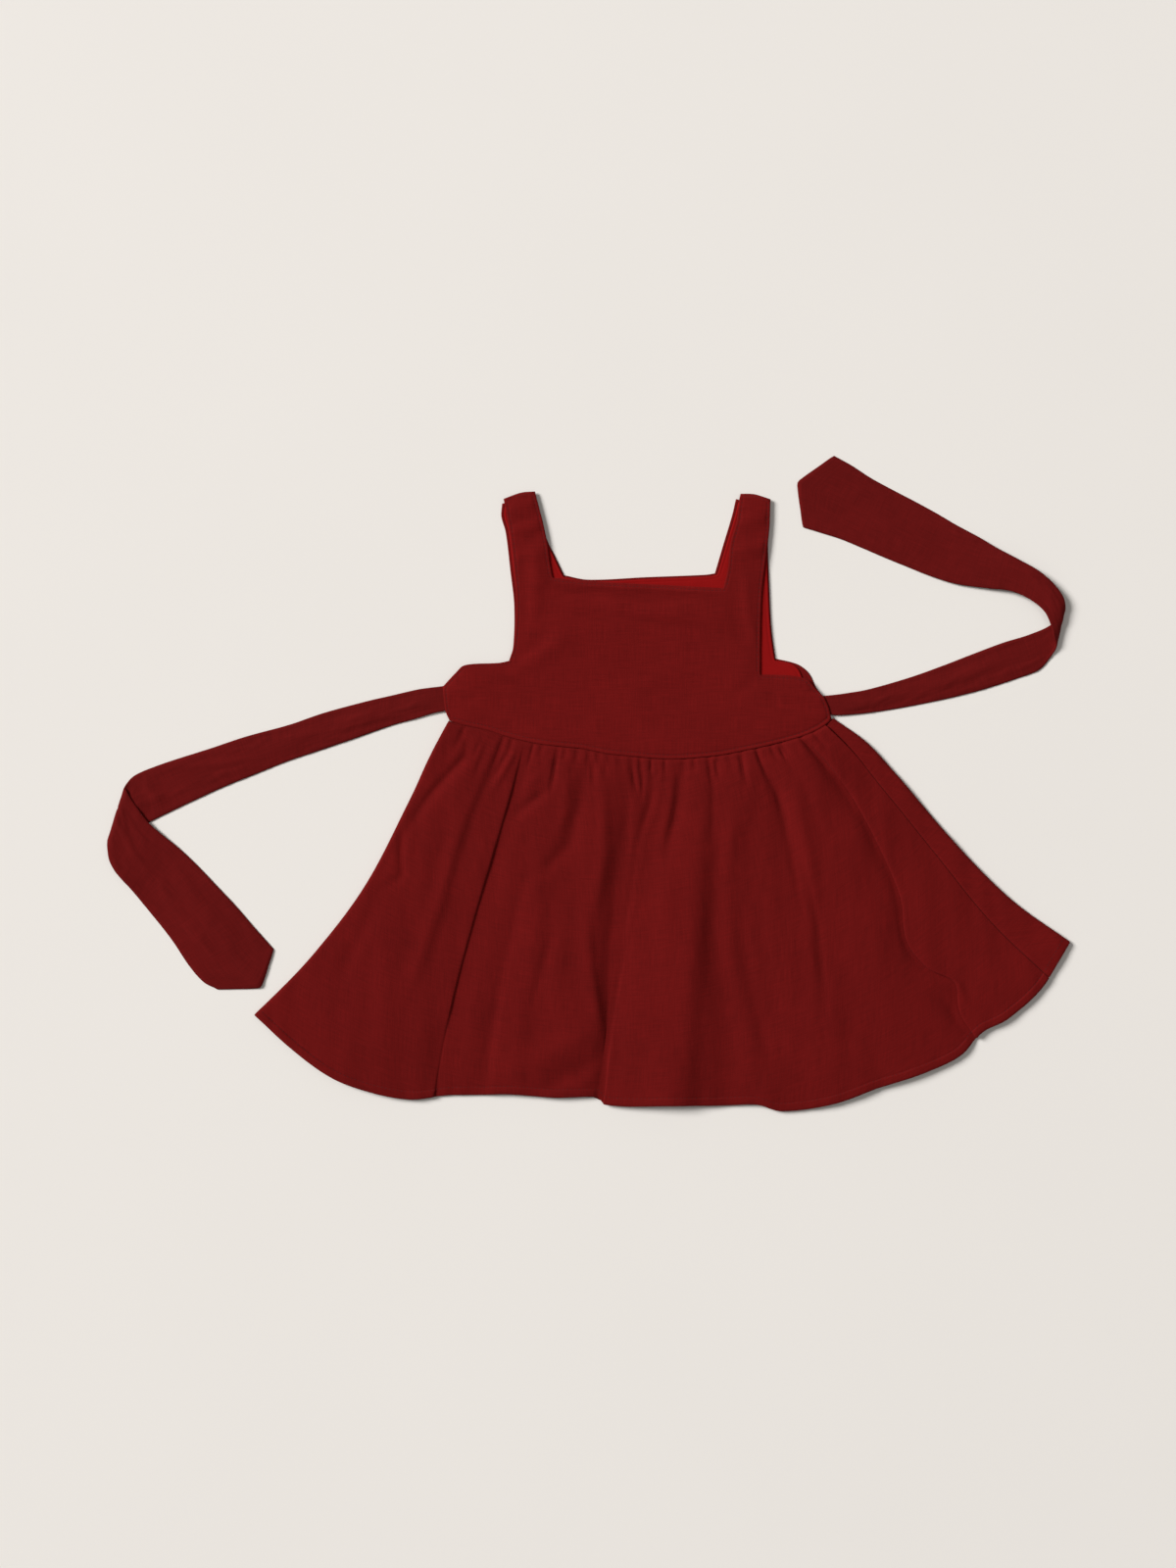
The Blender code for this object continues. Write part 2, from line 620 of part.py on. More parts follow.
def make_skirt_front(material):
    """The gathered front panel, from the hidden left seam round the fold edge to the right seam."""
    lines = [(LEFT_SEAM, FLAT)]
    lines += [(ring_shift(LEFT_FOLD, distance), heights) for distance, heights in LEFT_TURN]
    tucked = [False] * len(lines)
    for kind, angles, heights in SKIRT_LINES:
        lines += fold_lines(kind, angles, heights) if "on top" in kind else [(angles, heights)]
    distance, heights = BY_THE_SEAM
    lines.append((ring_shift(RIGHT_SEAM, distance), heights))
    lines.append((ring_shift(RIGHT_SEAM, -SEAM_GAP / 2), SEAM_HEIGHTS))
    tucked += [True] * (len(lines) - len(tucked))
    grid = skirt_grid(lines, tucked, True)
    wall_from_grid("skirt_front", grid, hem_thickness(len(grid)), material)


def make_skirt_back(material):
    """The back panel, flat on the floor from the left seam and over the right fold edge."""
    lines = []
    left, right = ring_shift(LEFT_SEAM, SEAM_GAP), ring_shift(RIGHT_FOLD, RIGHT_TURN[0][0])
    for k in range(BACK_FLAT_LINES):
        share = k / BACK_FLAT_LINES
        lines.append(([a + (b - a) * share for a, b in zip(left, right)], FLAT))
    lines += [(ring_shift(RIGHT_FOLD, distance), heights) for distance, heights in RIGHT_TURN]
    lines.append((ring_shift(RIGHT_SEAM, SEAM_GAP / 2), SEAM_HEIGHTS))
    grid = skirt_grid(lines, [False] * len(lines), False)
    wall_from_grid("skirt_back", grid, hem_thickness(len(grid)), material)


def waist_line(ends, short):
    """The waist seam from right to left, or a line that stops short of it, as an even row of points."""
    low, high = ends
    count = math.ceil(math.radians(high - low) * waist_radius(0) / OUTLINE_STEP)
    rows = []
    for k in range(count + 1):
        angle = high + (low - high) * k / count
        rows.append((*ring_point(angle, waist_radius(angle) - short), k in (0, count)))
    return rows


def outline_points(table, ends=WAIST_ENDS, short=0.0):
    """An outline's rows as evenly spaced points, with curves between the corners."""
    rows = []
    for row in table:
        rows += waist_line(ends, short) if row == "waist" else [row]
    corners = [i for i, row in enumerate(rows) if row[2]]
    points = []
    for k, start in enumerate(corners):
        stop = corners[(k + 1) % len(corners)]
        run = rows[start:stop] if stop > start else rows[start:] + rows[:stop]
        run = [row[:2] for row in run] + [rows[stop][:2]]
        places = [0.0]
        for a, b in zip(run, run[1:]):
            places.append(places[-1] + math.dist(a, b))
        count = max(round(places[-1] / OUTLINE_STEP), 1)
        for m in range(count):
            at = places[-1] * m / count
            points.append(tuple(smooth_value(places, [p[axis] for p in run], at) for axis in (0, 1)))
    return points


def inside(point, polygon):
    """Whether a place lies inside an outline."""
    x, y = point
    found = False
    for (ax, ay), (bx, by) in zip(polygon, polygon[1:] + polygon[:1]):
        if (ay > y) != (by > y) and x < (bx - ax) * (y - ay) / (by - ay) + ax:
            found = not found
    return found


def distance_to(point, polygon):
    """The distance from a place to an outline."""
    nearest = 1e9
    for a, b in zip(polygon, polygon[1:] + polygon[:1]):
        dx, dy = b[0] - a[0], b[1] - a[1]
        along = ((point[0] - a[0]) * dx + (point[1] - a[1]) * dy) / (dx * dx + dy * dy)
        along = min(max(along, 0.0), 1.0)
        nearest = min(nearest, math.hypot(point[0] - a[0] - along * dx, point[1] - a[1] - along * dy))
    return nearest


def inner_points(polygon, step):
    """A staggered field of places inside an outline, clear of its edge."""
    low_x, high_x = min(p[0] for p in polygon), max(p[0] for p in polygon)
    low_y, high_y = min(p[1] for p in polygon), max(p[1] for p in polygon)
    found = []
    row_step = step * math.sin(math.radians(60))
    for j in range(math.ceil((high_y - low_y) / row_step) + 1):
        y = low_y + j * row_step
        for i in range(math.ceil((high_x - low_x) / step) + 1):
            place = (low_x + (i + 0.5 * (j % 2)) * step, y)
            if inside(place, polygon) and distance_to(place, polygon) > 0.5 * step:
                found.append(place)
    return found


def panel(name, polygon, places, low_face, high_face, material):
    """A cut panel as a wall between two height functions over its outline."""
    corners = list(polygon) + list(places)
    ring = [list(range(len(polygon)))]
    points, _, faces, *_ = delaunay_2d_cdt(corners, [], ring, 1, 1e-4)
    count = len(points)
    solid = [(p.x, p.y, low_face(p.x, p.y)) for p in points]
    solid += [(p.x, p.y, high_face(p.x, p.y)) for p in points]
    walls, used = [], {}
    for face in faces:
        walls.append(tuple(face[::-1]))
        walls.append(tuple(i + count for i in face))
        for a, b in zip(face, face[1:] + face[:1]):
            edge = (min(a, b), max(a, b))
            used[edge] = used.get(edge, 0) + 1
    for (a, b), uses in used.items():
        if uses == 1:
            walls.append((a, b, b + count, a + count))
    return add_object(name, solid, walls, material)


def shoulder_depth(x, y):
    """How far a place lies from the nearer shoulder's end, along the strap."""
    depths = []
    for end_x, end_y, slant in SHOULDERS:
        turn = math.radians(slant)
        if abs(x - end_x) < STRAP_WIDTH:
            depths.append((end_y - y) * math.cos(turn) + (x - end_x) * math.sin(turn))
    return max(min(depths), 0.0) if depths else 1e3


def front_low(x, y):
    """The height of the bodice front's lower face."""
    height = FRONT_BASE
    for at_x, at_y, top, full, last in FRONT_LIFTS:
        off = math.hypot(x - at_x, y - at_y)
        height += (top - FRONT_BASE) * (1 - smooth_step(off, full, last))
    for at_x, at_y, long, wide, slope, rise in FRONT_RELIEF:
        turn = math.radians(slope)
        along = ((x - at_x) * math.cos(turn) + (y - at_y) * math.sin(turn)) / long
        across = ((y - at_y) * math.cos(turn) - (x - at_x) * math.sin(turn)) / wide
        height += rise * math.exp(-along * along - across * across)
    return height


def make_bodice_front(material):
    """The double front with its straps, whose ends roll over the shoulders."""
    polygon = outline_points(FRONT_OUTLINE)
    places = inner_points(polygon, PANEL_STEP)
    for end_x, end_y, slant in SHOULDERS:
        turn = math.radians(slant)
        for depth in SHOULDER_DEPTHS:
            for k in range(-2, 3):
                across = SHOULDER_SPACING * k
                x = end_x + across * math.cos(turn) - depth * math.sin(turn)
                y = end_y + across * math.sin(turn) - depth * math.cos(turn)
                if inside((x, y), polygon) and distance_to((x, y), polygon) > SHOULDER_CLEAR:
                    places.append((x, y))

    def low(x, y):
        roll = smooth_step(shoulder_depth(x, y), 0.0, SHOULDER_ROLL)
        return SHOULDER_EDGE_LOW + (front_low(x, y) - SHOULDER_EDGE_LOW) * roll

    def high(x, y):
        roll = smooth_step(shoulder_depth(x, y), -SHOULDER_EDGE_TOP, SHOULDER_ROLL)
        share = SHOULDER_EDGE_SHARE + (1 - SHOULDER_EDGE_SHARE) * roll
        return SHOULDER_EDGE_TOP + (front_low(x, y) + DOUBLE_CLOTH - SHOULDER_EDGE_TOP) * share

    panel("bodice_front", polygon, places, low, high, material)


def make_bodice_back(outer, lining):
    """The back's outer layer on the floor and its lining on top."""
    polygon = outline_points(BACK_OUTLINE)
    panel("bodice_back", polygon, [], lambda x, y: 0.0, lambda x, y: CLOTH, outer)
    above = [row for row in BACK_OUTLINE if row == "waist" or row[1] > LINING_TOP]
    cut = above.index("waist")
    table = above[:cut] + list(LINING_SIDES) + above[cut + 1 :]
    polygon = outline_points(table, LINING_ENDS, LINING_SHORT)
    low, high = LINING_BASE, LINING_BASE + CLOTH
    panel("bodice_back_lining", polygon, [], lambda x, y: low, lambda x, y: high, lining)


def eased_rows(table, step):
    """A tie's rows with even steps on a curve through them."""
    places = [0.0]
    for a, b in zip(table, table[1:]):
        middle_a = [(a[0] + a[2]) / 2, (a[1] + a[3]) / 2, a[4]]
        middle_b = [(b[0] + b[2]) / 2, (b[1] + b[3]) / 2, b[4]]
        places.append(places[-1] + max(math.dist(middle_a, middle_b), 1.0))
    rows = []
    for i in range(len(table) - 1):
        count = max(round((places[i + 1] - places[i]) / step), 1)
        for k in range(count):
            at = places[i] + (places[i + 1] - places[i]) * k / count
            rows.append([smooth_value(places, [row[c] for row in table], at) for c in range(7)])
    rows.append(list(table[-1]))
    return rows


def make_tie(name, table, lean, material):
    """A tie as a ribbon over its rows, arched a little, with a pointed end that may lean across."""
    rows = eased_rows(table, TIE_STEP)
    grid = []
    for j, (ax, ay, bx, by, height, arch, point) in enumerate(rows):
        before = rows[max(j - 1, 0)]
        run_x = (ax + bx - before[0] - before[2]) / 2
        run_y = (ay + by - before[1] - before[3]) / 2
        run = max(math.hypot(run_x, run_y), 1e-6)
        line = []
        for k in range(TIE_ACROSS + 1):
            share = k / TIE_ACROSS
            push = max(point, 0.0) * (1 - abs(2 * share - 1))
            across = share + push * lean / math.dist((ax, ay), (bx, by))
            line.append(
                (
                    ax + (bx - ax) * across + run_x / run * push,
                    ay + (by - ay) * across + run_y / run * push,
                    height + arch * math.sin(math.pi * share) ** 2,
                )
            )
        grid.append(line)
    wall_from_grid(name, grid, lambda row, n, height: (TIE_CLOTH / 2, TIE_CLOTH / 2), material)


def main():
    for old in list(bpy.data.objects):
        bpy.data.objects.remove(old)
    bodice = cloth_material("bodice cotton", RED_CLOTH)
    skirt = cloth_material("skirt cotton", SKIRT_CLOTH)
    lining = cloth_material("lining cotton", LINING_CLOTH)
    make_bodice_back(bodice, lining)
    make_bodice_front(bodice)
    make_skirt_back(skirt)
    make_skirt_front(skirt)
    make_tie("tie_left", LEFT_TIE, TIP_LEAN, bodice)
    make_tie("tie_right", RIGHT_TIE, 0.0, bodice)


main()
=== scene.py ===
"""A toddler's plain dark red pinafore dress, laid flat on a pale floor and seen from straight above.

The cloth is fine woven cotton. Each cut piece is a thin shell on its solid's form, with the folds,
gathers and wrinkles that the dress lies in. Tables are in millimetres and degrees about the point
where the skirt's sides would meet, 0 straight down and positive to the right.
"""

import bisect
import math

import bmesh
import bpy
import numpy as np
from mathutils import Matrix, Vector, noise
from mathutils.bvhtree import BVHTree
from mathutils.geometry import delaunay_2d_cdt


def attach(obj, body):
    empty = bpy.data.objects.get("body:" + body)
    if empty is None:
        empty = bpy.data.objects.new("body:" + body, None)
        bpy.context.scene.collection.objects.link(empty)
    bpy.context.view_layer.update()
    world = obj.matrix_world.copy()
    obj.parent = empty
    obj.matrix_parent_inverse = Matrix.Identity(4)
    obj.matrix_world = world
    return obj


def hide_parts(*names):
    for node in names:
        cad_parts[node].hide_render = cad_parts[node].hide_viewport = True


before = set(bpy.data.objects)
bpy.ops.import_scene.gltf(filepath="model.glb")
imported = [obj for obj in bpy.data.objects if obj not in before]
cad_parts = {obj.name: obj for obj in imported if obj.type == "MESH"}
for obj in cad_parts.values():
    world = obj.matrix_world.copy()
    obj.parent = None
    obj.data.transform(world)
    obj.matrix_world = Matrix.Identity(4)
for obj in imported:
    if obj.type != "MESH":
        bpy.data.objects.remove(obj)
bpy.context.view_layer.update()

MM = 0.001

# The dress's own origin, the middle of its outline
CENTRE_X, CENTRE_Y = 0.2, 0.5

# The solids' layers, and the finer walls of the cloth that shows
SOLID = 1.0
SEAM_GAP = 0.3
LINING_BASE = SOLID + SEAM_GAP
FRONT_BASE = LINING_BASE + SOLID + 0.05
SKIRT_CLOTH = 0.7
BACK_CLOTH = 0.9
BODICE_CLOTH = 1.05
TIE_CLOTH = 1.1

# The skirt's ring: its middle, how far the front is tucked under the bodice, and how far the back
# stops short of the waist seam
APEX_X, APEX_Y = 11.9, 198.1
TUCK = 6.0
BACK_SEAM_GAP = 0.5
# A shell's rounded rim reaches this far past its middle surface
RIM = 0.4
LOWEST_FRONT = LINING_BASE + SOLID / 2
# Rows down a skirt panel: its usual length, how many, the first one's share of the length, how they
# spread out, and the last one's distance above the hem's own rows
SKIRT_LENGTH = 255.0
SKIRT_ROWS = 84
FIRST_ROW, ROW_SPREAD, HEM_CLEAR = 0.003, 1.35, 2.0
# Columns between two lines of a skirt panel
PER_LINE = 7
# The turned hem: how wide it is, where its stitches run, over what distance it steps up and how
# far, how deep and wide the stitches' groove is, how thin the edge is, how far in it is full, and a
# distance that is far from it
HEM_BAND = 5.8
HEM_STITCH = HEM_BAND - 0.2
HEM_STEP, HEM_LIFT, HEM_GROOVE, HEM_GROOVE_WIDE = 0.5, 0.42, 0.16, 0.5
HEM_THIN, HEM_FULL, FAR_FROM_HEM = 0.45, 0.9, 99.0
# The hem stands up only on faces that look up and lie higher than this, and fully this much higher
SHOWS_ABOVE, SHOWS_OVER = 2.0, 0.8
# Rows near the hem, as distances from its edge
HEM_ROWS = (8.0, 7.0, 6.3, 5.9, 5.6, 5.2, 4.4, 3.2, 2.0, 1.0, 0.35, 0.0)

# angle, radius of the waist seam, radius of the hem
SKIRT_RING = (
    (-37.0, 189.5, 440.0),
    (-34.4, 187.5, 440.5),
    (-30.0, 182.6, 446.6),
    (-27.0, 180.0, 450.3),
    (-24.7, 179.2, 451.5),
    (-21.0, 177.9, 449.0),
    (-18.0, 176.8, 444.6),
    (-15.0, 175.8, 434.8),
    (-12.0, 174.8, 429.0),
    (-9.0, 174.0, 424.4),
    (-5.0, 173.9, 423.0),
    (-0.7, 175.9, 421.4),
    (0.0, 176.4, 426.4),
    (6.3, 179.6, 429.5),
    (12.0, 184.2, 436.5),
    (14.4, 186.3, 440.5),
    (16.2, 187.8, 449.0),
    (21.0, 192.0, 456.2),
    (25.0, 196.0, 458.0),
    (29.9, 201.0, 464.2),
    (33.0, 205.0, 466.4),
    (35.7, 208.7, 461.5),
    (38.0, 212.2, 464.6),
    (42.0, 218.3, 464.0),
    (45.0, 221.5, 458.0),
    (48.0, 222.5, 452.5),
)

# The seams and fold edges at the sides: shares of the length, and angles there
STATIONS = (0.0, 0.12, 0.25, 0.5, 0.75, 1.0)
LEFT_SEAM = (-33.6, -32.4, -31.2, -30.1, -30.7, -32.1)
LEFT_FOLD = (-35.9, -34.8, -33.5, -32.2, -32.9, -34.5)
RIGHT_SEAM = (45.3, 45.3, 44.6, 43.6, 42.9, 43.3)
RIGHT_FOLD = (47.0, 47.8, 47.3, 46.1, 45.8, 46.8)

# All lines of the skirt front start at this height at the waist seam
WAIST_LEVEL = 1.8
# The skirt front's lines from left to right: kind, angles at the stations, and heights at all but
# the first station
SKIRT_LINES = (
    ("valley", (-31.3, -30.3, -32.0, -31.0, -31.5, -32.8), (2.8, 3.2, 3.6, 3.7, 3.4)),
    ("ridge", (-29.4, -28.8, -29.6, -29.0, -28.8, -29.6), (4.2, 4.2, 4.2, 4.2, 3.9)),
    ("ridge", (-27.0, -26.4, -26.8, -26.0, -25.2, -25.2), (4.6, 5.0, 5.2, 5.2, 4.8)),
    ("valley", (-24.2, -23.8, -23.7, -22.6, -21.8, -21.6), (2.4, 2.6, 3.2, 4.6, 5.0)),
    ("drop", (-18.9, -18.1, -17.8, -17.5, -17.0, -16.1), (3.5, 3.5, 3.4, 3.4, 3.3)),
    ("slope", (-16.2, -15.4, -15.0, -14.8, -14.6, -14.0), (2.6, 2.7, 2.9, 3.1, 3.5)),
    ("valley", (-12.6, -12.4, -12.8, -12.6, -12.4, -11.8), (3.6, 3.0, 2.1, 2.0, 2.0)),
    ("ridge", (-8.6, -8.9, -9.9, -9.9, -9.7, -9.1), (4.4, 4.6, 4.9, 4.9, 4.6)),
    ("valley", (-4.8, -4.6, -5.6, -7.0, -8.0, -8.0), (3.2, 2.8, 3.0, 3.6, 3.8)),
    ("ridge", (-1.2, -0.8, -0.8, -2.4, -1.4, -3.0), (4.6, 5.0, 5.4, 5.8, 4.8)),
    ("valley", (4.2, 4.2, 3.0, 0.2, -0.2, -1.5), (3.4, 2.8, 2.8, 3.4, 3.2)),
    ("slope", (8.4, 7.0, 4.6, 1.7, 0.4, -0.8), (3.1, 2.2, 1.9, 1.9, 1.9)),
    ("fold", (11.8, 9.8, 6.4, 3.1, 1.0, -0.1), (2.8, 2.5, 2.5, 3.1, 3.8)),
    ("slope", (17.4, 14.8, 10.8, 6.6, 4.5, 3.2), (3.8, 4.0, 5.0, 5.6, 6.2)),
    ("ridge", (20.4, 18.0, 14.8, 11.8, 8.7, 7.0), (4.8, 6.0, 8.6, 9.4, 9.4)),
    ("step", (23.2, 20.6, 16.9, 13.3, 10.7, 8.7), (4.0, 4.6, 5.6, 5.7, 5.5)),
    ("slope", (25.6, 22.6, 18.8, 15.4, 13.3, 11.6), (3.4, 2.9, 2.6, 2.4, 2.4)),
    ("ridge", (29.8, 26.6, 21.2, 17.9, 16.2, 14.8), (5.2, 5.0, 4.4, 4.2, 4.2)),
    ("valley", (31.0, 28.8, 23.8, 20.0, 18.4, 17.2), (3.8, 3.8, 3.2, 2.9, 2.6)),
    ("ridge", (31.8, 30.0, 26.4, 22.2, 20.8, 19.6), (4.2, 4.6, 4.8, 4.6, 4.2)),
    ("valley", (32.7, 31.5, 30.0, 24.6, 22.6, 21.4), (2.2, 2.8, 4.2, 4.8, 4.8)),
    ("ridge", (34.6, 33.4, 31.6, 26.6, 24.0, 23.0), (4.8, 5.3, 5.6, 5.4, 5.2)),
    ("valley", (36.2, 35.4, 33.6, 28.6, 25.6, 24.8), (3.6, 3.8, 3.8, 4.0, 4.4)),
    ("ridge", (37.4, 36.8, 35.4, 32.0, 29.4, 28.6), (4.8, 5.2, 5.4, 5.2, 4.8)),
    ("ridge", (39.2, 38.9, 38.5, 36.4, 33.9, 34.1), (4.4, 4.6, 4.3, 4.1, 3.8)),
    ("fold", (40.8, 40.9, 40.3, 37.8, 35.0, 35.0), (4.9, 4.8, 4.2, 4.1, 4.2)),
    ("slope", (43.6, 43.6, 42.4, 40.7, 39.4, 39.8), (4.2, 4.4, 4.6, 4.6, 4.4)),
)
# The lines beside the seams and fold edges: distance along the ring, and heights at the stations
ON_FLOOR = (SOLID / 2,) * len(STATIONS)
SEAM_HEIGHTS = (1.8, 3.4, 3.4, 3.4, 3.4, 3.4)
LEFT_TURN = (
    (5.0, ON_FLOOR),
    (1.2, ON_FLOOR),
    (-0.9, (1.4, 1.7, 1.8, 1.8, 1.8, 1.8)),
    (0.8, (2.4, 3.1, 3.2, 3.2, 3.2, 3.1)),
    (3.0, (2.2, 3.2, 3.4, 3.4, 3.4, 3.3)),
)
FRONT_SEAM_EDGE = ((-5.0, (1.8, 3.7, 3.8, 3.8, 3.8, 3.6)), (-RIM, SEAM_HEIGHTS))
RIGHT_TURN = (
    (-4.0, ON_FLOOR),
    (-1.0, ON_FLOOR),
    (1.0, (1.5, 1.8, 1.9, 1.9, 1.9, 1.9)),
    (-0.6, (2.5, 3.2, 3.2, 3.2, 3.2, 3.2)),
    (-2.6, (2.5, 3.4, 3.4, 3.4, 3.4, 3.4)),
    (-4.6, (2.2, 3.5, 3.5, 3.5, 3.5, 3.4)),
)
BACK_SEAM_EDGE = ((RIM, SEAM_HEIGHTS),)
# The flat back has this many spans, and stops this far from the right fold edge
FLAT_SPANS, FLAT_STOPS = 13, 8.0

# Where the right fold's edge swings sideways near the hem: share of length, angle, shift, spread
# along and across
FOLD_SWINGS = (
    (0.84, 34.8, 1.6, 0.055, 2.6),
    (0.66, 35.4, -0.9, 0.07, 2.4),
)

# How a fold's edge turns under: steps along the ring laid open and folded, and relative height
FOLD_EDGE = (
    (4.4, 4.6, 1.0),
    (2.4, 0.2, 1.0),
    (0.8, -0.9, 0.72),
    (-0.8, 1.6, 0.42),
    (-2.4, 1.0, 0.0),
    (-4.2, -3.4, 0.0),
)
# A fold begins to turn under where its edge stands this high over the cloth beneath, and is turned
# at this height, and from this share of the length on
OVERLAP_HEIGHTS = (1.3, 2.2)
FOLD_OPENS = 0.25
# An edge that drops steeply and doesn't turn under: step along the ring and relative height
DROP_EDGE = ((4.4, 1.0), (1.3, 1.0), (0.5, 0.78), (-0.4, 0.25), (-1.1, 0.0), (-4.4, 0.0))

# The gathers at the waist seam: angle, depth, length
GATHERS = (
    (-32.3, 0.8, 24),
    (-23.6, 1.2, 44),
    (-21.6, 0.9, 20),
    (-16.6, 0.7, 18),
    (-14.6, 0.7, 14),
    (-10.9, 0.9, 34),
    (-9.2, 0.8, 16),
    (-6.4, 0.9, 18),
    (-3.6, 1.0, 22),
    (-1.6, 1.0, 20),
    (0.9, 0.9, 18),
    (3.4, 0.8, 16),
    (6.2, 1.1, 36),
    (8.0, 1.2, 22),
    (10.4, 0.9, 18),
    (13.4, 0.8, 16),
    (17.4, 1.1, 20),
    (19.4, 0.8, 14),
    (22.4, 1.1, 24),
    (24.4, 0.8, 14),
    (26.6, 0.9, 18),
    (29.0, 1.0, 24),
    (31.9, 1.3, 40),
    (34.6, 0.9, 18),
    (36.6, 0.9, 16),
    (40.2, 1.3, 34),
    (42.6, 0.9, 18),
)
# A gather's half width in degrees, how many of these it reaches, how sharp it is, and the share of
# its length where it begins to fade
GATHER_HALF_WIDTH, GATHER_REACH, GATHER_SHARP, GATHER_FADES = 0.72, 1.6, 2.6, 0.25
# The puff below the seam: height, and the distances over which it rises and fades
GATHER_PUFF = 1.5
PUFF_RISES, PUFF_FADES = (0.0, 1.7), (7.0, 46.0)
# More of it by the right side seam: height, the angles over which it comes in, where it fades
SIDE_PUFF, SIDE_ANGLES, SIDE_FADES = 0.9, (36.0, 43.0), (4.0, 30.0)
# Fine puckers in it: height, stretch across and down, length, seed, where they rise and fade
PUCKER, PUCKER_ACROSS, PUCKER_DOWN, PUCKER_LONG, PUCKER_SEED = 0.3, 3.2, 0.9, 4.2, 3.0
PUCKER_RISES, PUCKER_FADES = (1.0, 4.0), (8.0, 32.0)

# Soft wrinkles that run down the skirt, and more at its hem: height, stretch down, length, seed
LONG_WRINKLES = ((0.6, 0.22, 14.0, 1.0), (0.14, 0.45, 4.5, 8.0))
HEM_WRINKLE = (0.3, 0.5, 7.0, 11.0)
# Broad unevenness: height, length, seed
BROAD_HEIGHT, BROAD_LONG, BROAD_SEED = 0.7, 36.0, 5.0
# Distances from the waist seam, and up from the hem, over which wrinkles come in
WRINKLES_RISE, HEM_WRINKLES_RISE = (4.0, 40.0), (16.0, 3.0)

# The cloth is loose above the lowest front: heights from it, distances from the waist seam
LOOSE_HEIGHTS, LOOSE_DISTANCES = (-0.4, 0.8), (1.0, 5.0)
# The floor of the folds: how far it lies below the lowest front, how softly it is met, and how high
# above it the cloth is left as it is
FLOOR_BELOW, FLOOR_EASE, FLOOR_CLEAR = 0.15, 0.3, 3.0
# Heights that differ by less than this are the same
TOUCH = 0.001

# How a crease or puff fades: share of its length at each end, and what is left at the very end
STROKE_FADES, STROKE_ENDS = 0.3, 0.25

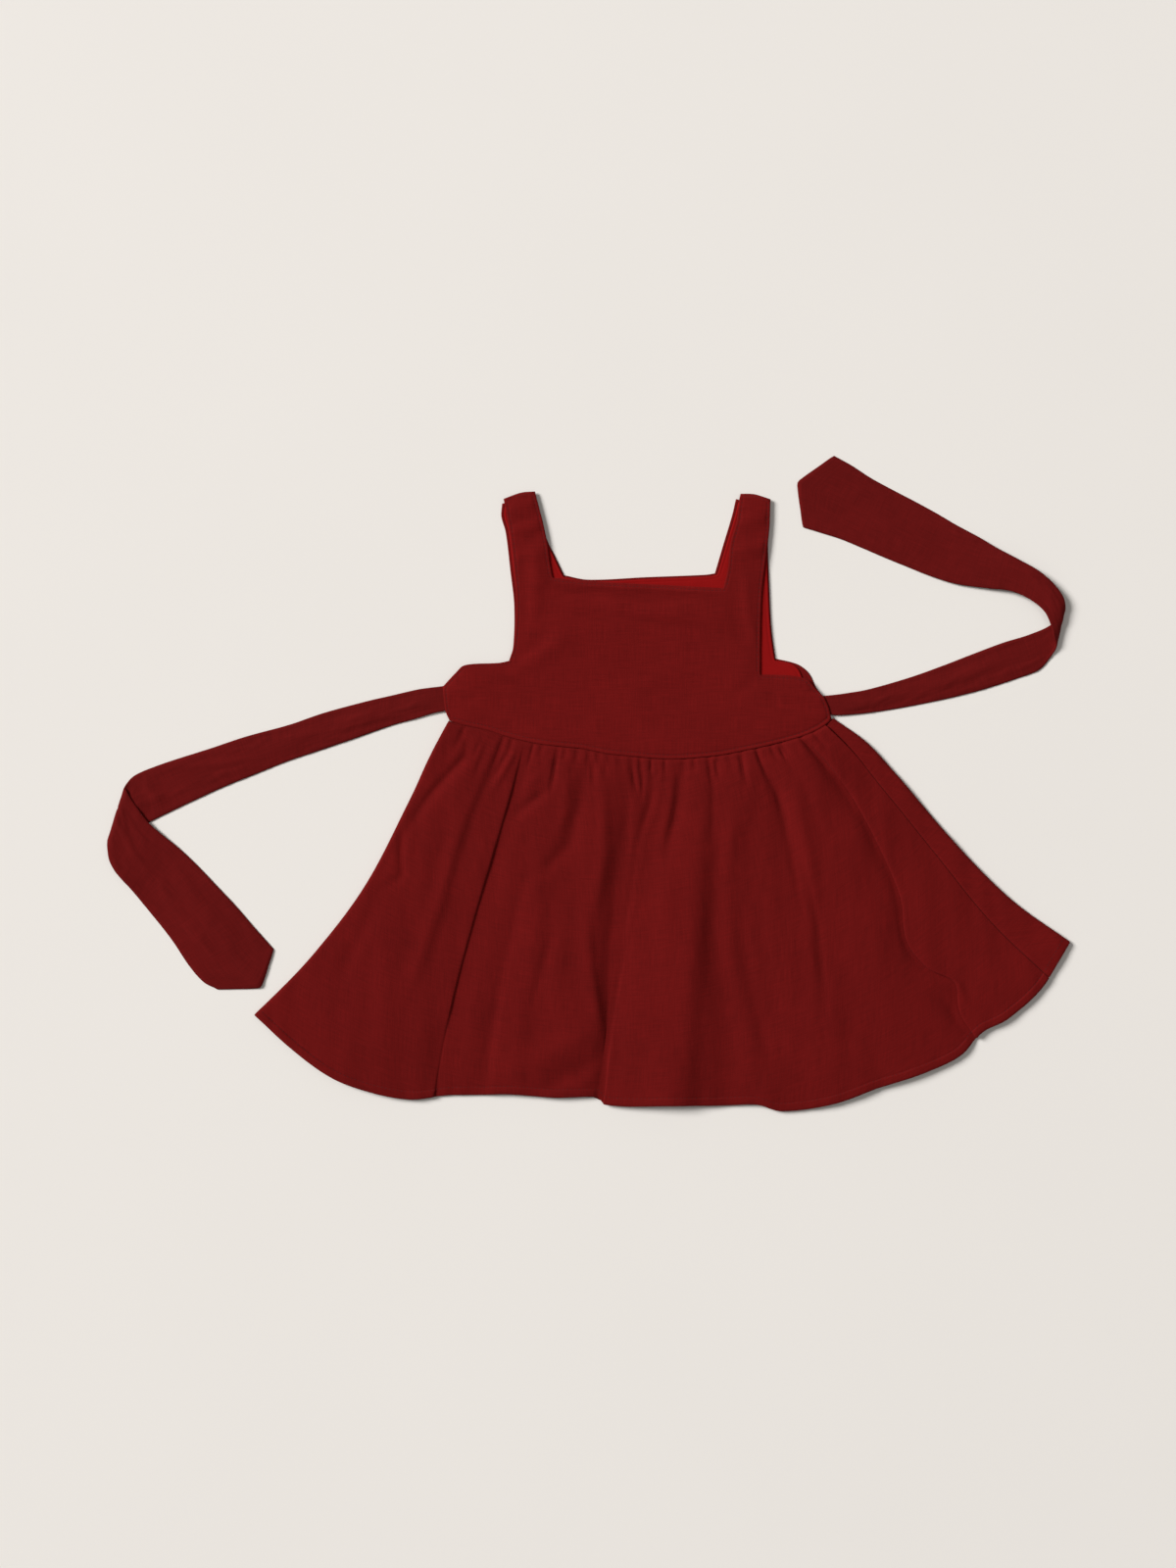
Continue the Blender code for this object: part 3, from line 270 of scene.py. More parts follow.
# Creases and puffs that run their own way over the skirt: angle and radius of each place along
# them, half width to the left and to the right, height
SKIRT_STROKES = (
    # the left side, from its fold edge to the first deep fold
    (((-32.2, 190), (-28.9, 203), (-30.2, 222), (-31.2, 242), (-31.3, 270)), 3.0, 4.0, -1.3),
    (((-30.9, 192), (-30.9, 215)), 3.0, 4.0, 0.5),
    (((-32.5, 270), (-30.2, 289), (-28.6, 301), (-30.3, 315)), 2.2, 2.2, -1.3),
    (((-30.4, 318), (-29.7, 345), (-29.4, 388)), 5.0, 5.0, -0.7),
    (((-31.1, 265), (-28.8, 286)), 3.5, 3.0, 0.6),
    (((-28.0, 186), (-27.5, 206)), 1.6, 2.4, -0.4),
    (((-26.3, 183), (-25.7, 215)), 2.0, 2.8, -0.6),
    (((-24.5, 190), (-24.2, 228), (-23.6, 265), (-22.4, 307), (-21.9, 345), (-22.0, 380)), 7.0, 2.8, 1.5),
    (((-20.1, 183), (-20.8, 202), (-21.8, 220)), 2.5, 2.0, 1.0),
    (((-21.4, 189), (-22.3, 212)), 1.4, 1.4, -1.2),
    (((-17.1, 380), (-16.6, 412), (-16.0, 438)), 9.0, 2.0, -1.3),
    # between the first deep fold and the wide flap
    (((-16.7, 180), (-16.6, 196)), 1.4, 1.8, -0.7),
    (((-11.2, 206), (-14.6, 221), (-17.2, 233)), 3.4, 3.0, -1.7),
    (((-13.4, 197), (-16.0, 210)), 4.0, 3.0, 0.7),
    (((-11.0, 179), (-10.6, 207)), 1.5, 1.9, -1.3),
    (((-11.7, 262), (-12.2, 290), (-12.3, 341), (-11.8, 400), (-11.3, 423)), 4.0, 3.0, -0.5),
    (((-4.5, 187), (-4.8, 215), (-5.8, 241), (-8.6, 258), (-11.2, 269)), 4.0, 4.5, -1.2),
    (((-8.3, 186), (-7.3, 219), (-8.6, 243)), 4.0, 3.5, 0.9),
    (((-12.3, 350), (-11.9, 400), (-11.3, 430)), 6.0, 2.2, -0.9),
    (((-7.0, 303), (-8.3, 362)), 2.0, 2.0, -0.8),
    (((-5.6, 303), (-6.1, 374)), 3.5, 2.5, 0.7),
    (((-2.7, 179), (-2.2, 200)), 1.0, 1.0, -1.3),
    (((0.2, 179), (-0.2, 194)), 1.0, 1.0, -1.3),
    (((4.6, 188), (4.2, 223), (3.2, 253), (2.0, 290), (1.6, 320), (0.8, 366)), 6.5, 3.5, -1.4),
    (((-0.4, 190), (0.0, 248), (-1.6, 296)), 4.5, 4.0, 1.1),
    (((-2.6, 286), (-1.7, 330), (-0.7, 360), (0.1, 386)), 6.0, 2.6, 1.1),
    (((-0.4, 392), (-2.8, 404), (-6.5, 418)), 7.0, 6.0, -2.0),
    (((-1.4, 374), (-4.6, 388), (-8.9, 406)), 6.0, 6.0, 1.1),
    # the wide flap and the dart above it
    (((5.9, 183), (6.3, 198), (6.5, 207)), 1.3, 1.2, -1.4),
    (((8.8, 182), (7.7, 200), (7.2, 210)), 1.3, 1.6, -1.0),
    (((16.2, 192), (14.8, 206), (13.0, 224), (10.2, 250)), 2.8, 6.0, -1.8),
    (((14.6, 203), (11.0, 231), (8.6, 256)), 5.0, 3.0, 0.8),
    # right of the flap
    (((23.2, 194), (20.9, 216), (17.6, 253)), 2.6, 3.4, -0.8),
    (((23.9, 192), (22.8, 211)), 1.2, 1.2, -1.4),
    (((25.4, 209), (21.2, 248), (17.6, 283), (15.8, 324), (14.6, 416)), 6.0, 6.0, 0.9),
    (((18.6, 300), (17.2, 350), (16.2, 430)), 5.0, 5.0, -0.8),
    (((40.2, 216), (40.4, 246)), 1.5, 1.5, -1.4),
    (((28.7, 200), (27.9, 211), (26.9, 223)), 1.2, 1.2, -1.4),
    (((31.5, 210), (31.0, 236), (30.4, 248), (28.1, 282), (26.0, 321)), 2.4, 4.0, -1.1),
    (((29.9, 273), (27.1, 332), (23.7, 391)), 3.6, 3.6, -1.1),
    (((33.8, 223), (30.2, 290), (25.3, 362)), 6.0, 5.0, 0.4),
    (((36.2, 205), (35.5, 223)), 1.2, 1.2, -1.4),
    (((35.0, 404), (36.4, 422), (36.0, 442)), 2.5, 3.0, 0.8),
    (((33.8, 412), (34.7, 433), (34.2, 454)), 4.0, 2.5, -1.3),
)

# Outlines of the bodice: x, y, and where the outline turns a corner
FRONT_OUTLINE = (
    (-60.2, 203.3, "corner"),
    (-47.6, 208.0),
    (-37.8, 208.6, "corner"),
    (-37.0, 205.4, "corner"),
    (-32.2, 186.9),
    (-28.9, 170.8),
    (-27.0, 157.0),
    (-25.2, 147.2, "corner"),
    (0.0, 144.5),
    (49.0, 142.1),
    (96.4, 139.6, "corner"),
    (99.7, 153.3),
    (101.5, 170.8),
    (106.0, 187.9),
    (108.0, 203.8, "corner"),
    (108.9, 207.2, "corner"),
    (119.0, 206.8),
    (130.2, 203.0, "corner"),
    (130.0, 199.9, "corner"),
    (129.3, 181.3),
    (125.8, 153.3),
    (123.9, 135.8),
    (123.0, 112.0),
    (122.8, 78.0, "corner"),
    (144.0, 77.3),
    (156.5, 74.5),
    (161.5, 68.9),
    (168.3, 61.9, "corner"),
    (171.5, 54.6),
    "waist",
    (-101.8, 52.5),
    (-103.6, 69.3, "corner"),
    (-94.5, 79.1),
    (-88.0, 84.7),
    (-63.0, 86.4),
    (-56.3, 87.8, "corner"),
    (-53.2, 98.0),
    (-51.1, 126.7),
    (-52.5, 149.8),
    (-56.0, 179.9),
    (-59.6, 200.2, "corner"),
)

BACK_OUTLINE = (
    (-61.3, 200.2, "corner"),
    (-37.2, 204.9, "corner"),
    (-34.3, 189.0),
    (-28.6, 172.9),
    (-23.8, 163.1),
    (-17.1, 149.1, "corner"),
    (0.0, 145.9),
    (42.0, 147.7),
    (84.0, 149.4),
    (90.6, 150.4, "corner"),
    (96.6, 170.8),
    (102.9, 191.8),
    (105.6, 203.4, "corner"),
    (129.8, 199.4, "corner"),
    (128.6, 170.8),
    (129.3, 144.2),
    (130.9, 112.0),
    (133.8, 89.5, "corner"),
    (145.2, 87.0),
    (151.5, 84.5),
    (157.8, 79.0),
    (162.6, 69.5),
    (168.1, 61.9, "corner"),
    (171.5, 54.6),
    "waist",
    (-101.6, 52.5),
    (-103.4, 69.3, "corner"),
    (-94.5, 78.8),
    (-88.0, 84.3),
    (-63.0, 86.1),
    (-56.3, 87.5, "corner"),
    (-53.4, 98.0),
    (-52.7, 127.4),
    (-55.3, 151.2),
    (-58.8, 179.9),
    (-61.9, 191.1),
)
WAIST_ENDS = (-35.9, 46.7)

# The lining stops short of the side seams and the waist seam, and the outer layer shows round it
LINING_TOP = 84.8
LINING_SIDES = (
    (150.6, 82.8),
    (153.6, 76.5, "corner"),
    (151.0, 62.0, "corner"),
    (150.0, 50.0, "corner"),
    "waist",
    (-90.5, 58.0, "corner"),
    (-90.5, 75.0, "corner"),
    (-88.0, 82.0),
)
LINING_ENDS = (-31.0, 39.0)
# How far it stops short of the waist seam, lies in from the outline and is shifted to the right
LINING_SHORT = TUCK + 1.5
LINING_RIM = 1.5
LINING_SHIFT = 0.6
# How far the back lies off the floor and the lining off its base, and the lining's wrinkles: height,
# length, seed
BACK_LIFT, LINING_LIFT = 0.05, -0.15
LINING_WRINKLE, LINING_LONG, LINING_SEED = 0.12, 9.0, 7.0

# Where the front is lifted by the tie roots under it: x, y, lower face's height, full and last reach
FRONT_LIFTS = (
    (-98.0, 61.0, 2.45, 12.0, 34.0),
    (167.0, 55.0, 2.45, 12.0, 34.0),
)
# Creases and puffs in the bodice front: x, y, half length, half width, slope, height
FRONT_RELIEF = (
    (48.0, 76.0, 26.0, 5.0, 6.0, 0.6),
    (-36.0, 92.0, 24.0, 8.0, 42.0, 0.4),
    (104.0, 96.0, 26.0, 8.0, -50.0, 0.5),
    (150.0, 62.0, 20.0, 12.0, -12.0, 1.0),
    (-84.0, 68.0, 16.0, 10.0, 0.0, 0.6),
    (40.0, 112.0, 60.0, 12.0, 2.0, 0.5),
)
# Creases and puffs over the bodice front: x and y of each place along them, half width to the
# left and to the right, height
FRONT_STROKES = (
    # under the neckline
    (((-34, 144), (10, 142), (50, 140), (94, 137)), 3.4, 3.4, 1.2),
    (((-36, 138), (4, 136), (42, 131), (73, 133), (98, 126)), 2.6, 2.6, -1.1),
    (((-36, 128), (12, 126), (48, 121), (92, 117)), 5.0, 5.0, 0.9),
    (((30, 116), (66, 112), (96, 108)), 2.6, 2.6, -0.6),
    # across the straps
    (((-58, 197), (-34, 200)), 4.0, 4.0, 0.8),
    (((-57, 187), (-32, 190)), 1.6, 1.6, -1.1),
    (((-57, 181), (-31, 183)), 3.0, 3.0, 0.8),
    (((-57, 172), (-28, 175)), 3.6, 3.6, -1.0),
    (((-56, 162), (-28, 164)), 5.0, 5.0, 0.8),
    (((106, 188), (131, 190)), 4.0, 4.0, 0.9),
    (((103, 176), (131, 178)), 3.4, 3.4, -1.2),
    (((103, 167), (130, 169)), 4.0, 4.0, 0.8),
    (((102, 158), (130, 160)), 2.0, 2.0, -0.5),
    # from the armholes and over the middle
    (((-45, 170), (-45, 140), (-47, 106)), 4.0, 3.0, -0.7),
    (((-37, 168), (-36, 140), (-38, 112)), 4.0, 4.0, 0.6),
    (((-55, 90), (-41, 97), (-27, 107)), 4.0, 4.0, -1.0),
    (((-50, 84), (-30, 92), (-12, 106)), 6.0, 6.0, 0.6),
    (((120, 76), (104, 63)), 4.0, 4.0, -0.6),
    (((112, 96), (106, 120), (104, 150)), 4.0, 4.0, -0.8),
    (((118, 100), (114, 126), (112, 150)), 3.0, 3.0, 0.5),
    (((0, 73), (42, 77), (70, 74)), 2.0, 2.0, -0.6),
    (((-80, 72), (-50, 70), (-30, 62)), 3.0, 3.0, -0.6),
    (((66, 92), (60, 114)), 9.0, 9.0, 0.5),
    # by the side seams
    (((138, 71), (154, 66), (168, 62)), 1.8, 1.8, -1.2),
    (((136, 60), (152, 58), (166, 53)), 2.4, 2.4, -1.1),
    (((128, 66), (136, 56)), 2.4, 2.4, -0.7),
    (((-100, 62), (-88, 60), (-76, 62)), 2.0, 2.0, -0.7),
)
# Faint wrinkles in the bodice front: height, stretch across and up, length, seed
FRONT_WRINKLES = ((0.45, 1.0, 1.3, 30.0, 2.0), (0.16, 0.7, 1.0, 9.0, 4.0))
# The front's loft and its relief come in over these distances from the edge, relief from a share
FRONT_LOFT, LOFT_OVER = 0.45, 10.0
RELIEF_OVER, RELIEF_LEAST = 4.0, 0.25
# By the waist seam it eases down, where it lies no more than this above its base
WAIST_EASE, EASED_BELOW = 0.1, 0.4
# At the shoulders' ends it rolls down to a height, over a length: x, y, slant of each end
SHOULDER_ROLL, SHOULDER_LOW, STRAP_REACH = 2.8, 0.5, 20.0
SHOULDERS = ((-48.9, 208.4, 11.5), (119.5, 206.6, -4.5))
# Places whose distances to an outline are worked out at one time
BLOCK = 400
# Distances between points: over a panel, with rows as in an even net, and along an outline
PANEL_STEP, NET_ROW, OUTLINE_STEP = 3.0, 0.87, 2.2
# Rings of points inside a panel's edge, where its rolled edge and its stitch line take their shape
EDGE_RINGS = (0.3, 0.9, 1.5, 2.1, 2.6, 3.1, 3.7, 4.6)
# A ring's point is left out nearer to the edge than this share of the ring's inset, and a point
# of the even field nearer to the last ring than this share of its step
RING_CLEAR, FIELD_CLEAR = 0.93, 0.4
# A panel's edge is rolled over this distance, down to this share of the cloth's thickness
EDGE_ROLL, EDGE_THIN = 1.0, 0.3
# The grooves that stitches lie in, from the edge and from the waist seam: place, depth, width, and
# the soft ridge beside the waist seam's
EDGE_GROOVE, EDGE_DEPTH = 2.1, 0.2
STITCH_INSET, STITCH_DEPTH = 3.1, 0.34
RIDGE_PLACE, RIDGE_HEIGHT = 1.5, 0.14
GROOVE_WIDE, RIDGE_WIDE = 0.5, 0.8

# The ties: one edge x, y, other edge x, y, height of the cloth's middle, arch, point of the end
LEFT_TIE = (
    (-94.6, 70.9, -93.6, 54.6, 1.65, 0.0, 0.0),
    (-103.6, 69.6, -101.8, 52.5, 1.65, 0.0, 0.0),
    (-112.0, 68.6, -111.3, 50.4, 1.5, 0.3, 0.0),
    (-121.8, 67.2, -122.5, 46.9, 1.1, 0.6, 0.0),
    (-140.0, 63.0, -140.0, 42.0, 0.7, 0.6, 0.0),
    (-158.2, 58.8, -163.8, 33.6, 0.7, 0.9, 0.0),
    (-189.0, 50.4, -188.3, 25.2, 0.7, 0.5, 0.0),
    (-213.5, 42.0, -213.5, 16.8, 0.7, 1.0, 0.0),
    (-244.3, 33.6, -234.5, 8.4, 0.7, 0.6, 0.0),
    (-269.5, 25.2, -255.5, 0.0, 0.7, 0.4, 0.0),
    (-296.1, 16.8, -274.4, -8.4, 0.7, 0.2, 0.0),
    (-311.6, 11.3, -303.0, -22.0, 0.7, 0.0, 0.0),
    (-321.5, 7.1, -330.6, -35.8, 0.7, 0.0, 0.0),
    (-326.6, 3.6, -339.3, -39.0, 0.75, 0.0, 0.0),
    (-330.4, -2.0, -342.8, -41.4, 1.7, 0.0, 0.0),
    (-329.0, -5.2, -342.4, -48.6, 2.8, 0.0, 0.0),
    (-326.0, -10.6, -341.2, -54.6, 2.9, 0.0, 0.0),
    (-320.6, -18.4, -337.6, -61.5, 2.85, 0.0, 0.0),
    (-313.4, -27.8, -332.0, -68.4, 2.7, 0.1, 0.0),
    (-303.8, -36.4, -326.6, -74.2, 2.0, 0.2, 0.0),
    (-291.9, -46.2, -320.2, -82.0, 1.0, 0.4, 0.0),
    (-278.6, -58.8, -312.9, -91.0, 0.7, 0.7, 0.0),
    (-264.6, -73.5, -303.8, -102.2, 0.7, 0.9, 0.0),
    (-252.0, -86.8, -295.4, -113.4, 0.7, 0.9, 0.0),
    (-238.7, -102.2, -284.2, -130.2, 0.7, 0.6, 0.0),
    (-229.6, -112.4, -274.0, -141.6, 0.7, 0.4, 9.0),
    (-224.6, -118.0, -264.4, -146.6, 0.7, 0.3, 18.5),
)
RIGHT_TIE = (
    (161.5, 61.4, 165.4, 50.0, 1.65, 0.0, 0.0),
    (168.0, 62.6, 172.9, 49.4, 1.65, 0.0, 0.0),
    (175.0, 63.3, 179.2, 49.2, 1.7, 0.2, 0.0),
    (183.4, 64.4, 187.6, 49.7, 1.5, 0.4, 0.0),
    (199.5, 67.2, 199.5, 50.8, 1.1, 0.6, 0.0),
    (228.9, 75.6, 224.0, 54.6, 0.7, 0.8, 0.0),
    (252.7, 84.0, 255.5, 60.9, 0.7, 0.5, 0.0),
    (274.4, 92.4, 280.7, 67.2, 0.7, 0.8, 0.0),
    (296.8, 100.8, 306.6, 75.6, 0.7, 0.6, 0.0),
    (315.0, 106.4, 322.0, 81.6, 0.8, 0.2, 0.0),
    (330.4, 113.4, 330.2, 90.6, 1.0, 0.0, 0.0),
    (339.4, 123.2, 333.8, 98.0, 3.2, 0.0, 0.0),
    (339.2, 130.6, 331.4, 104.6, 5.4, 0.0, 0.0),
    (335.6, 137.2, 329.4, 113.1, 6.0, 0.0, 0.0),
    (329.7, 144.2, 325.0, 122.7, 5.8, 0.1, 0.0),
    (320.6, 151.9, 315.4, 131.2, 5.2, 0.3, 0.0),
    (307.3, 159.6, 301.4, 137.6, 4.3, 0.5, 0.0),
    (291.9, 168.0, 285.6, 139.6, 3.2, 0.6, 0.0),
    (277.9, 176.4, 263.2, 142.8, 2.1, 0.6, 0.0),
    (262.5, 184.8, 245.0, 148.4, 1.3, 0.6, 0.0),
    (248.5, 193.2, 227.5, 155.4, 0.7, 1.3, 0.0),
    (233.1, 201.6, 212.1, 161.7, 0.7, 1.0, 0.0),
    (217.0, 210.0, 197.4, 168.0, 0.7, 0.8, 0.0),
    (201.6, 218.4, 180.6, 175.0, 0.7, 0.6, 0.0),
    (187.6, 227.5, 165.2, 179.9, 0.7, 0.4, 8.0),
    (175.7, 234.1, 153.7, 183.4, 0.7, 0.3, 17.0),
)
# Creases and puffs in the ties: x and y of each place along them, half widths, height
TIE_STROKES = (
    # the pocket beside the left fold and the cloth that turns over it
    (((-320, 4), (-310, -9), (-302, -18)), 2.6, 5.0, 1.1),
    (((-331, -10), (-322, -26)), 4.0, 6.0, 0.7),
    (((-300, 12), (-268, 14), (-236, 18)), 3.0, 3.0, 0.6),
    (((-300, -52), (-280, -82), (-262, -112)), 5.0, 5.0, 0.7),
    # the right bend, where the upper leg's outer side stands up
    (((331, 137), (320, 149), (304, 158), (284, 168)), 9.0, 7.0, 2.0),
    (((256, 160), (226, 176), (196, 196)), 6.0, 6.0, 0.7),
    (((296, 88), (262, 74), (232, 64)), 4.0, 3.0, 0.6),
)
# Spans across a tie, and the distance between its rows
TIE_ACROSS, TIE_STEP = 28, 2.0
# A tie's edge: its share of the width, how thin it is, and the dip beside it
TIE_EDGE, TIE_THIN, TIE_DIP = 0.09, 0.45, 0.08
# How far the left tie's point leans across, as a share of how far it reaches out, and how round
# both points are
TIP_LEAN, TIP_ROUND = 0.27, 0.004
# A tie's crumples: height, stretch along it, length, what is added to its seed
CRUMPLES = ((1.2, 0.16, 9.0, 0.0), (0.45, 0.5, 4.5, 3.0))
# Puckers at its edges: height, stretch across, length, what is added to its seed
EDGE_PUCKER, PUCKER_STRETCH, EDGE_PUCKER_LONG, EDGE_PUCKER_SEED = 0.35, 0.3, 3.2, 9.0
# How far both may dip, and the distances from the tie's start over which they come in
CRUMPLE_LEAST, PUCKER_LEAST = -0.05, -0.08
TIE_LOOSE = (14.0, 30.0)
# Puffs in the left tie stay out of the cloth that is folded on top, above this height
PUFF_HEIGHT = 1.1
# Each tie crumples in its own way
LEFT_SEED, RIGHT_SEED = 21.0, 47.0

# Thread: stitch length and the gap between stitches, how thick the thread is, and how far of it is
# sunk into the cloth
STITCH_LONG, STITCH_PITCH, THREAD, SUNK = 2.0, 2.8, 0.34, 0.12
# Angles that the rows of stitches run between, and how many places they are followed at
WAIST_STITCHED, FRONT_HEM_STITCHED, BACK_HEM_STITCHED = (-35.2, 46.2), (-34.0, 43.0), (43.6, 46.4)
WAIST_PLACES, HEM_PLACES = 260, 420
# The places are dropped onto the cloth from this height. A row of stitches breaks where the cloth
# steps by more than this, and needs more places than this
DROPPED_FROM, CLOTH_STEP, FEWEST_PLACES = 100.0, 1.2, 3

# Colours in sRGB from 0 to 255
BODICE_RED = (105, 16, 15)
SKIRT_RED = (100, 15, 14)
TIE_RED = (96, 16, 15)
LINING_RED = (134, 14, 14)
THREAD_RED = (72, 11, 11)
FLOOR_PALE = (232, 227, 221)
SHEEN_TINT = (1.0, 0.3, 0.26, 1.0)

# The cloths: name, colour, threads a metre, slubs, unevenness of the dye, depth in metres, sheen
CLOTHS = (
    ("bodice cotton", BODICE_RED, 1500.0, 0.5, 0.26, 0.00014, 0.05),
    ("skirt cotton", SKIRT_RED, 1500.0, 0.5, 0.26, 0.00014, 0.05),
    ("tie cotton", TIE_RED, 1500.0, 0.45, 0.26, 0.00014, 0.05),
    ("lining cotton", LINING_RED, 1700.0, 0.12, 0.10, 0.00008, 0.03),
)
# The weave's patterns, in changes a metre: how its threads wander, slubs across and along a thread,
# broad clouds in the dye; and how far in metres the threads wander
WANDER, SLUB_ACROSS, SLUB_ALONG, CLOUDS = 160.0, 1400.0, 60.0, 22.0
WANDER_REACH = 0.0006
# Painted light on the weave: the brightness between threads, a painted shade there, and the painted
# highlight that the threads' crowns add; slubs in the bump, roughness and what crowns take off it
GAP_PAINTED_SHADE, CROWN_PAINTED_HIGHLIGHT, SLUB_HEIGHT = 0.94, 0.12, 1.5
ROUGH, CROWN_SMOOTH = 0.95, 0.1

# The camera stands straight above the middle of the picture, which takes in 0.84 by 1.12 m
PICTURE_HIGH = 1.12
LENS, SENSOR = 50.0, 36.0
# The distances that it sees from and to
NEAR, FAR = 0.05, 20.0
# The floor's half side, the lights' names, places, sizes and powers, and the soft light all round
FLOOR_HALF = 4.0
LIGHTS = (
    ("key_light", (-19.4, 8.8, 14.6), 11.0, 9200.0),
    ("fill_light", (1.5, 0.5, 4.5), 3.0, 20.0),
)
ROOM_LIGHT, ROOM_COLOUR = 0.2, (1.0, 0.99, 0.97, 1.0)


def smooth_step(x, low, high):
    """0 below low, 1 above high, and an even ramp between."""
    share = min(max((x - low) / (high - low), 0.0), 1.0)
    return share * share * (3 - 2 * share)


def smooth_value(places, values, at):
    """A value read from a short table by a curve through its rows."""
    at = min(max(at, places[0]), places[-1])
    i = min(max(bisect.bisect_right(places, at) - 1, 0), len(places) - 2)
    span = places[i + 1] - places[i]
    share = (at - places[i]) / span
    slopes = []
    for k in (i, i + 1):
        low, high = max(k - 1, 0), min(k + 1, len(places) - 1)
        slopes.append((values[high] - values[low]) / (places[high] - places[low]) * span)
    squared, cubed = share * share, share**3
    return (
        values[i] * (2 * cubed - 3 * squared + 1)
        + slopes[0] * (cubed - 2 * squared + share)
        + values[i + 1] * (3 * squared - 2 * cubed)
        + slopes[1] * (cubed - squared)
    )


RING_ANGLES = [row[0] for row in SKIRT_RING]
RING_WAISTS = [row[1] for row in SKIRT_RING]
RING_HEMS = [row[2] for row in SKIRT_RING]


def waist_radius(angle):
    return smooth_value(RING_ANGLES, RING_WAISTS, angle)


def hem_radius(angle):
    return smooth_value(RING_ANGLES, RING_HEMS, angle)


def radius_at(angle, share):
    """The radius at a share of the way from the waist seam to the hem."""
    waist = waist_radius(angle)
    return waist + share * (hem_radius(angle) - waist)


def ring_point(angle, radius):
    """A place on the ring that the skirt spreads to."""
    turn = math.radians(angle)
    return APEX_X + radius * math.sin(turn), APEX_Y - radius * math.cos(turn)


def ripple(x, y, long, seed):
    """Even noise from -1 to 1 that changes over a length."""
    return noise.noise(Vector((x / long, y / long, seed)))


def ripples(x, y, long, seed):
    """The same noise at arrays of places."""
    return np.array([ripple(px, py, long, seed) for px, py in zip(x.tolist(), y.tolist())])


def ridge(gap, place, wide):
    """1 along a line at some distance, and less beside it."""
    return np.exp(-(((gap - place) / wide) ** 2))


# Meshes


def metres(x, y, z):
    """A place in the dress's own millimetres as one in the frame's metres."""
    return (x - CENTRE_X) * MM, (y - CENTRE_Y) * MM, z * MM


def add_object(name, data):
    """A new object in the scene, at the origin."""
    made = bpy.data.objects.new(name, data)
    bpy.context.collection.objects.link(made)
    return made


def add_piece(name, points, faces, places, material):
    """A closed wall as an object, in metres, with the cloth's own lengths as its UV map."""
    mesh = bpy.data.meshes.new(name)
    mesh.from_pydata([metres(*point) for point in points], [], faces)
    layer = mesh.uv_layers.new(name="cloth")
    corner_points = np.empty(len(mesh.loops), dtype=np.int32)
    mesh.loops.foreach_get("vertex_index", corner_points)
    spread = np.array(places, dtype=np.float32)[corner_points] * MM
    layer.data.foreach_set("uv", spread.ravel())
    work = bmesh.new()
    work.from_mesh(mesh)
    bmesh.ops.recalc_face_normals(work, faces=work.faces[:])
    work.to_mesh(mesh)
    work.free()
    mesh.materials.append(material)
    mesh.shade_smooth()
    return add_object(name, mesh)


def shell_from_grid(name, grid, spread, thick, material):
    """A wall about a grid of middle points, with a rounded rim.

    grid and spread are arrays [row, column, axis]; thick gives the half thickness on the outer and
    the inner side as arrays over the grid.
    """
    rows, columns = grid.shape[:2]
    along = np.empty_like(grid)
    along[1:-1] = grid[2:] - grid[:-2]
    along[0], along[-1] = grid[1] - grid[0], grid[-1] - grid[-2]
    across = np.empty_like(grid)
    across[:, 1:-1] = grid[:, 2:] - grid[:, :-2]
    across[:, 0], across[:, -1] = grid[:, 1] - grid[:, 0], grid[:, -1] - grid[:, -2]
    normal = np.cross(along, across)
    normal /= np.maximum(np.linalg.norm(normal, axis=2, keepdims=True), 1e-9)
    out, back = thick(grid, normal)
    outer = grid + normal * out[..., None]
    inner = grid - normal * back[..., None]
    ring = [(0, i) for i in range(columns)]
    ring += [(j, columns - 1) for j in range(1, rows)]
    ring += [(rows - 1, i) for i in range(columns - 2, -1, -1)]
    ring += [(j, 0) for j in range(rows - 2, 0, -1)]
    rim = []
    for j, i in ring:
        push = np.zeros(3)
        if j in (0, rows - 1):
            push += along[j, i] / max(np.linalg.norm(along[j, i]), 1e-9) * (1 if j else -1)
        if i in (0, columns - 1):
            push += across[j, i] / max(np.linalg.norm(across[j, i]), 1e-9) * (1 if i else -1)
        push /= max(np.linalg.norm(push), 1e-9)
        rim.append(grid[j, i] + push * 0.5 * (out[j, i] + back[j, i]))
    points = np.concatenate([outer.reshape(-1, 3), inner.reshape(-1, 3), np.array(rim)])
    flat = spread.reshape(-1, 2)
    places = np.concatenate([flat, flat, np.array([spread[j, i] for j, i in ring])])
    count = rows * columns
    faces = []
    for j in range(rows - 1):
        for i in range(columns - 1):
            a, b = j * columns + i, j * columns + i + 1
            c, d = b + columns, a + columns
            faces.append((a, b, c, d))
            faces.append((d + count, c + count, b + count, a + count))
    for k, (j, i) in enumerate(ring):
        nj, ni = ring[(k + 1) % len(ring)]
        here, after = j * columns + i, nj * columns + ni
        mid, mid_after = 2 * count + k, 2 * count + (k + 1) % len(ring)
        faces.append((here, mid, mid_after, after))
        faces.append((mid, here + count, after + count, mid_after))
    return add_piece(name, points.tolist(), faces, places, material)


# The skirt


def drop_lines(angles, heights):
    """The lines of an edge that drops steeply to the right."""
    lines = []
    for step, height in DROP_EDGE:
        levels = [heights[0]] + [LOWEST_FRONT + (top - LOWEST_FRONT) * height for top in heights[1:]]
        lines.append((ring_shift(angles, -step), levels))
    return lines


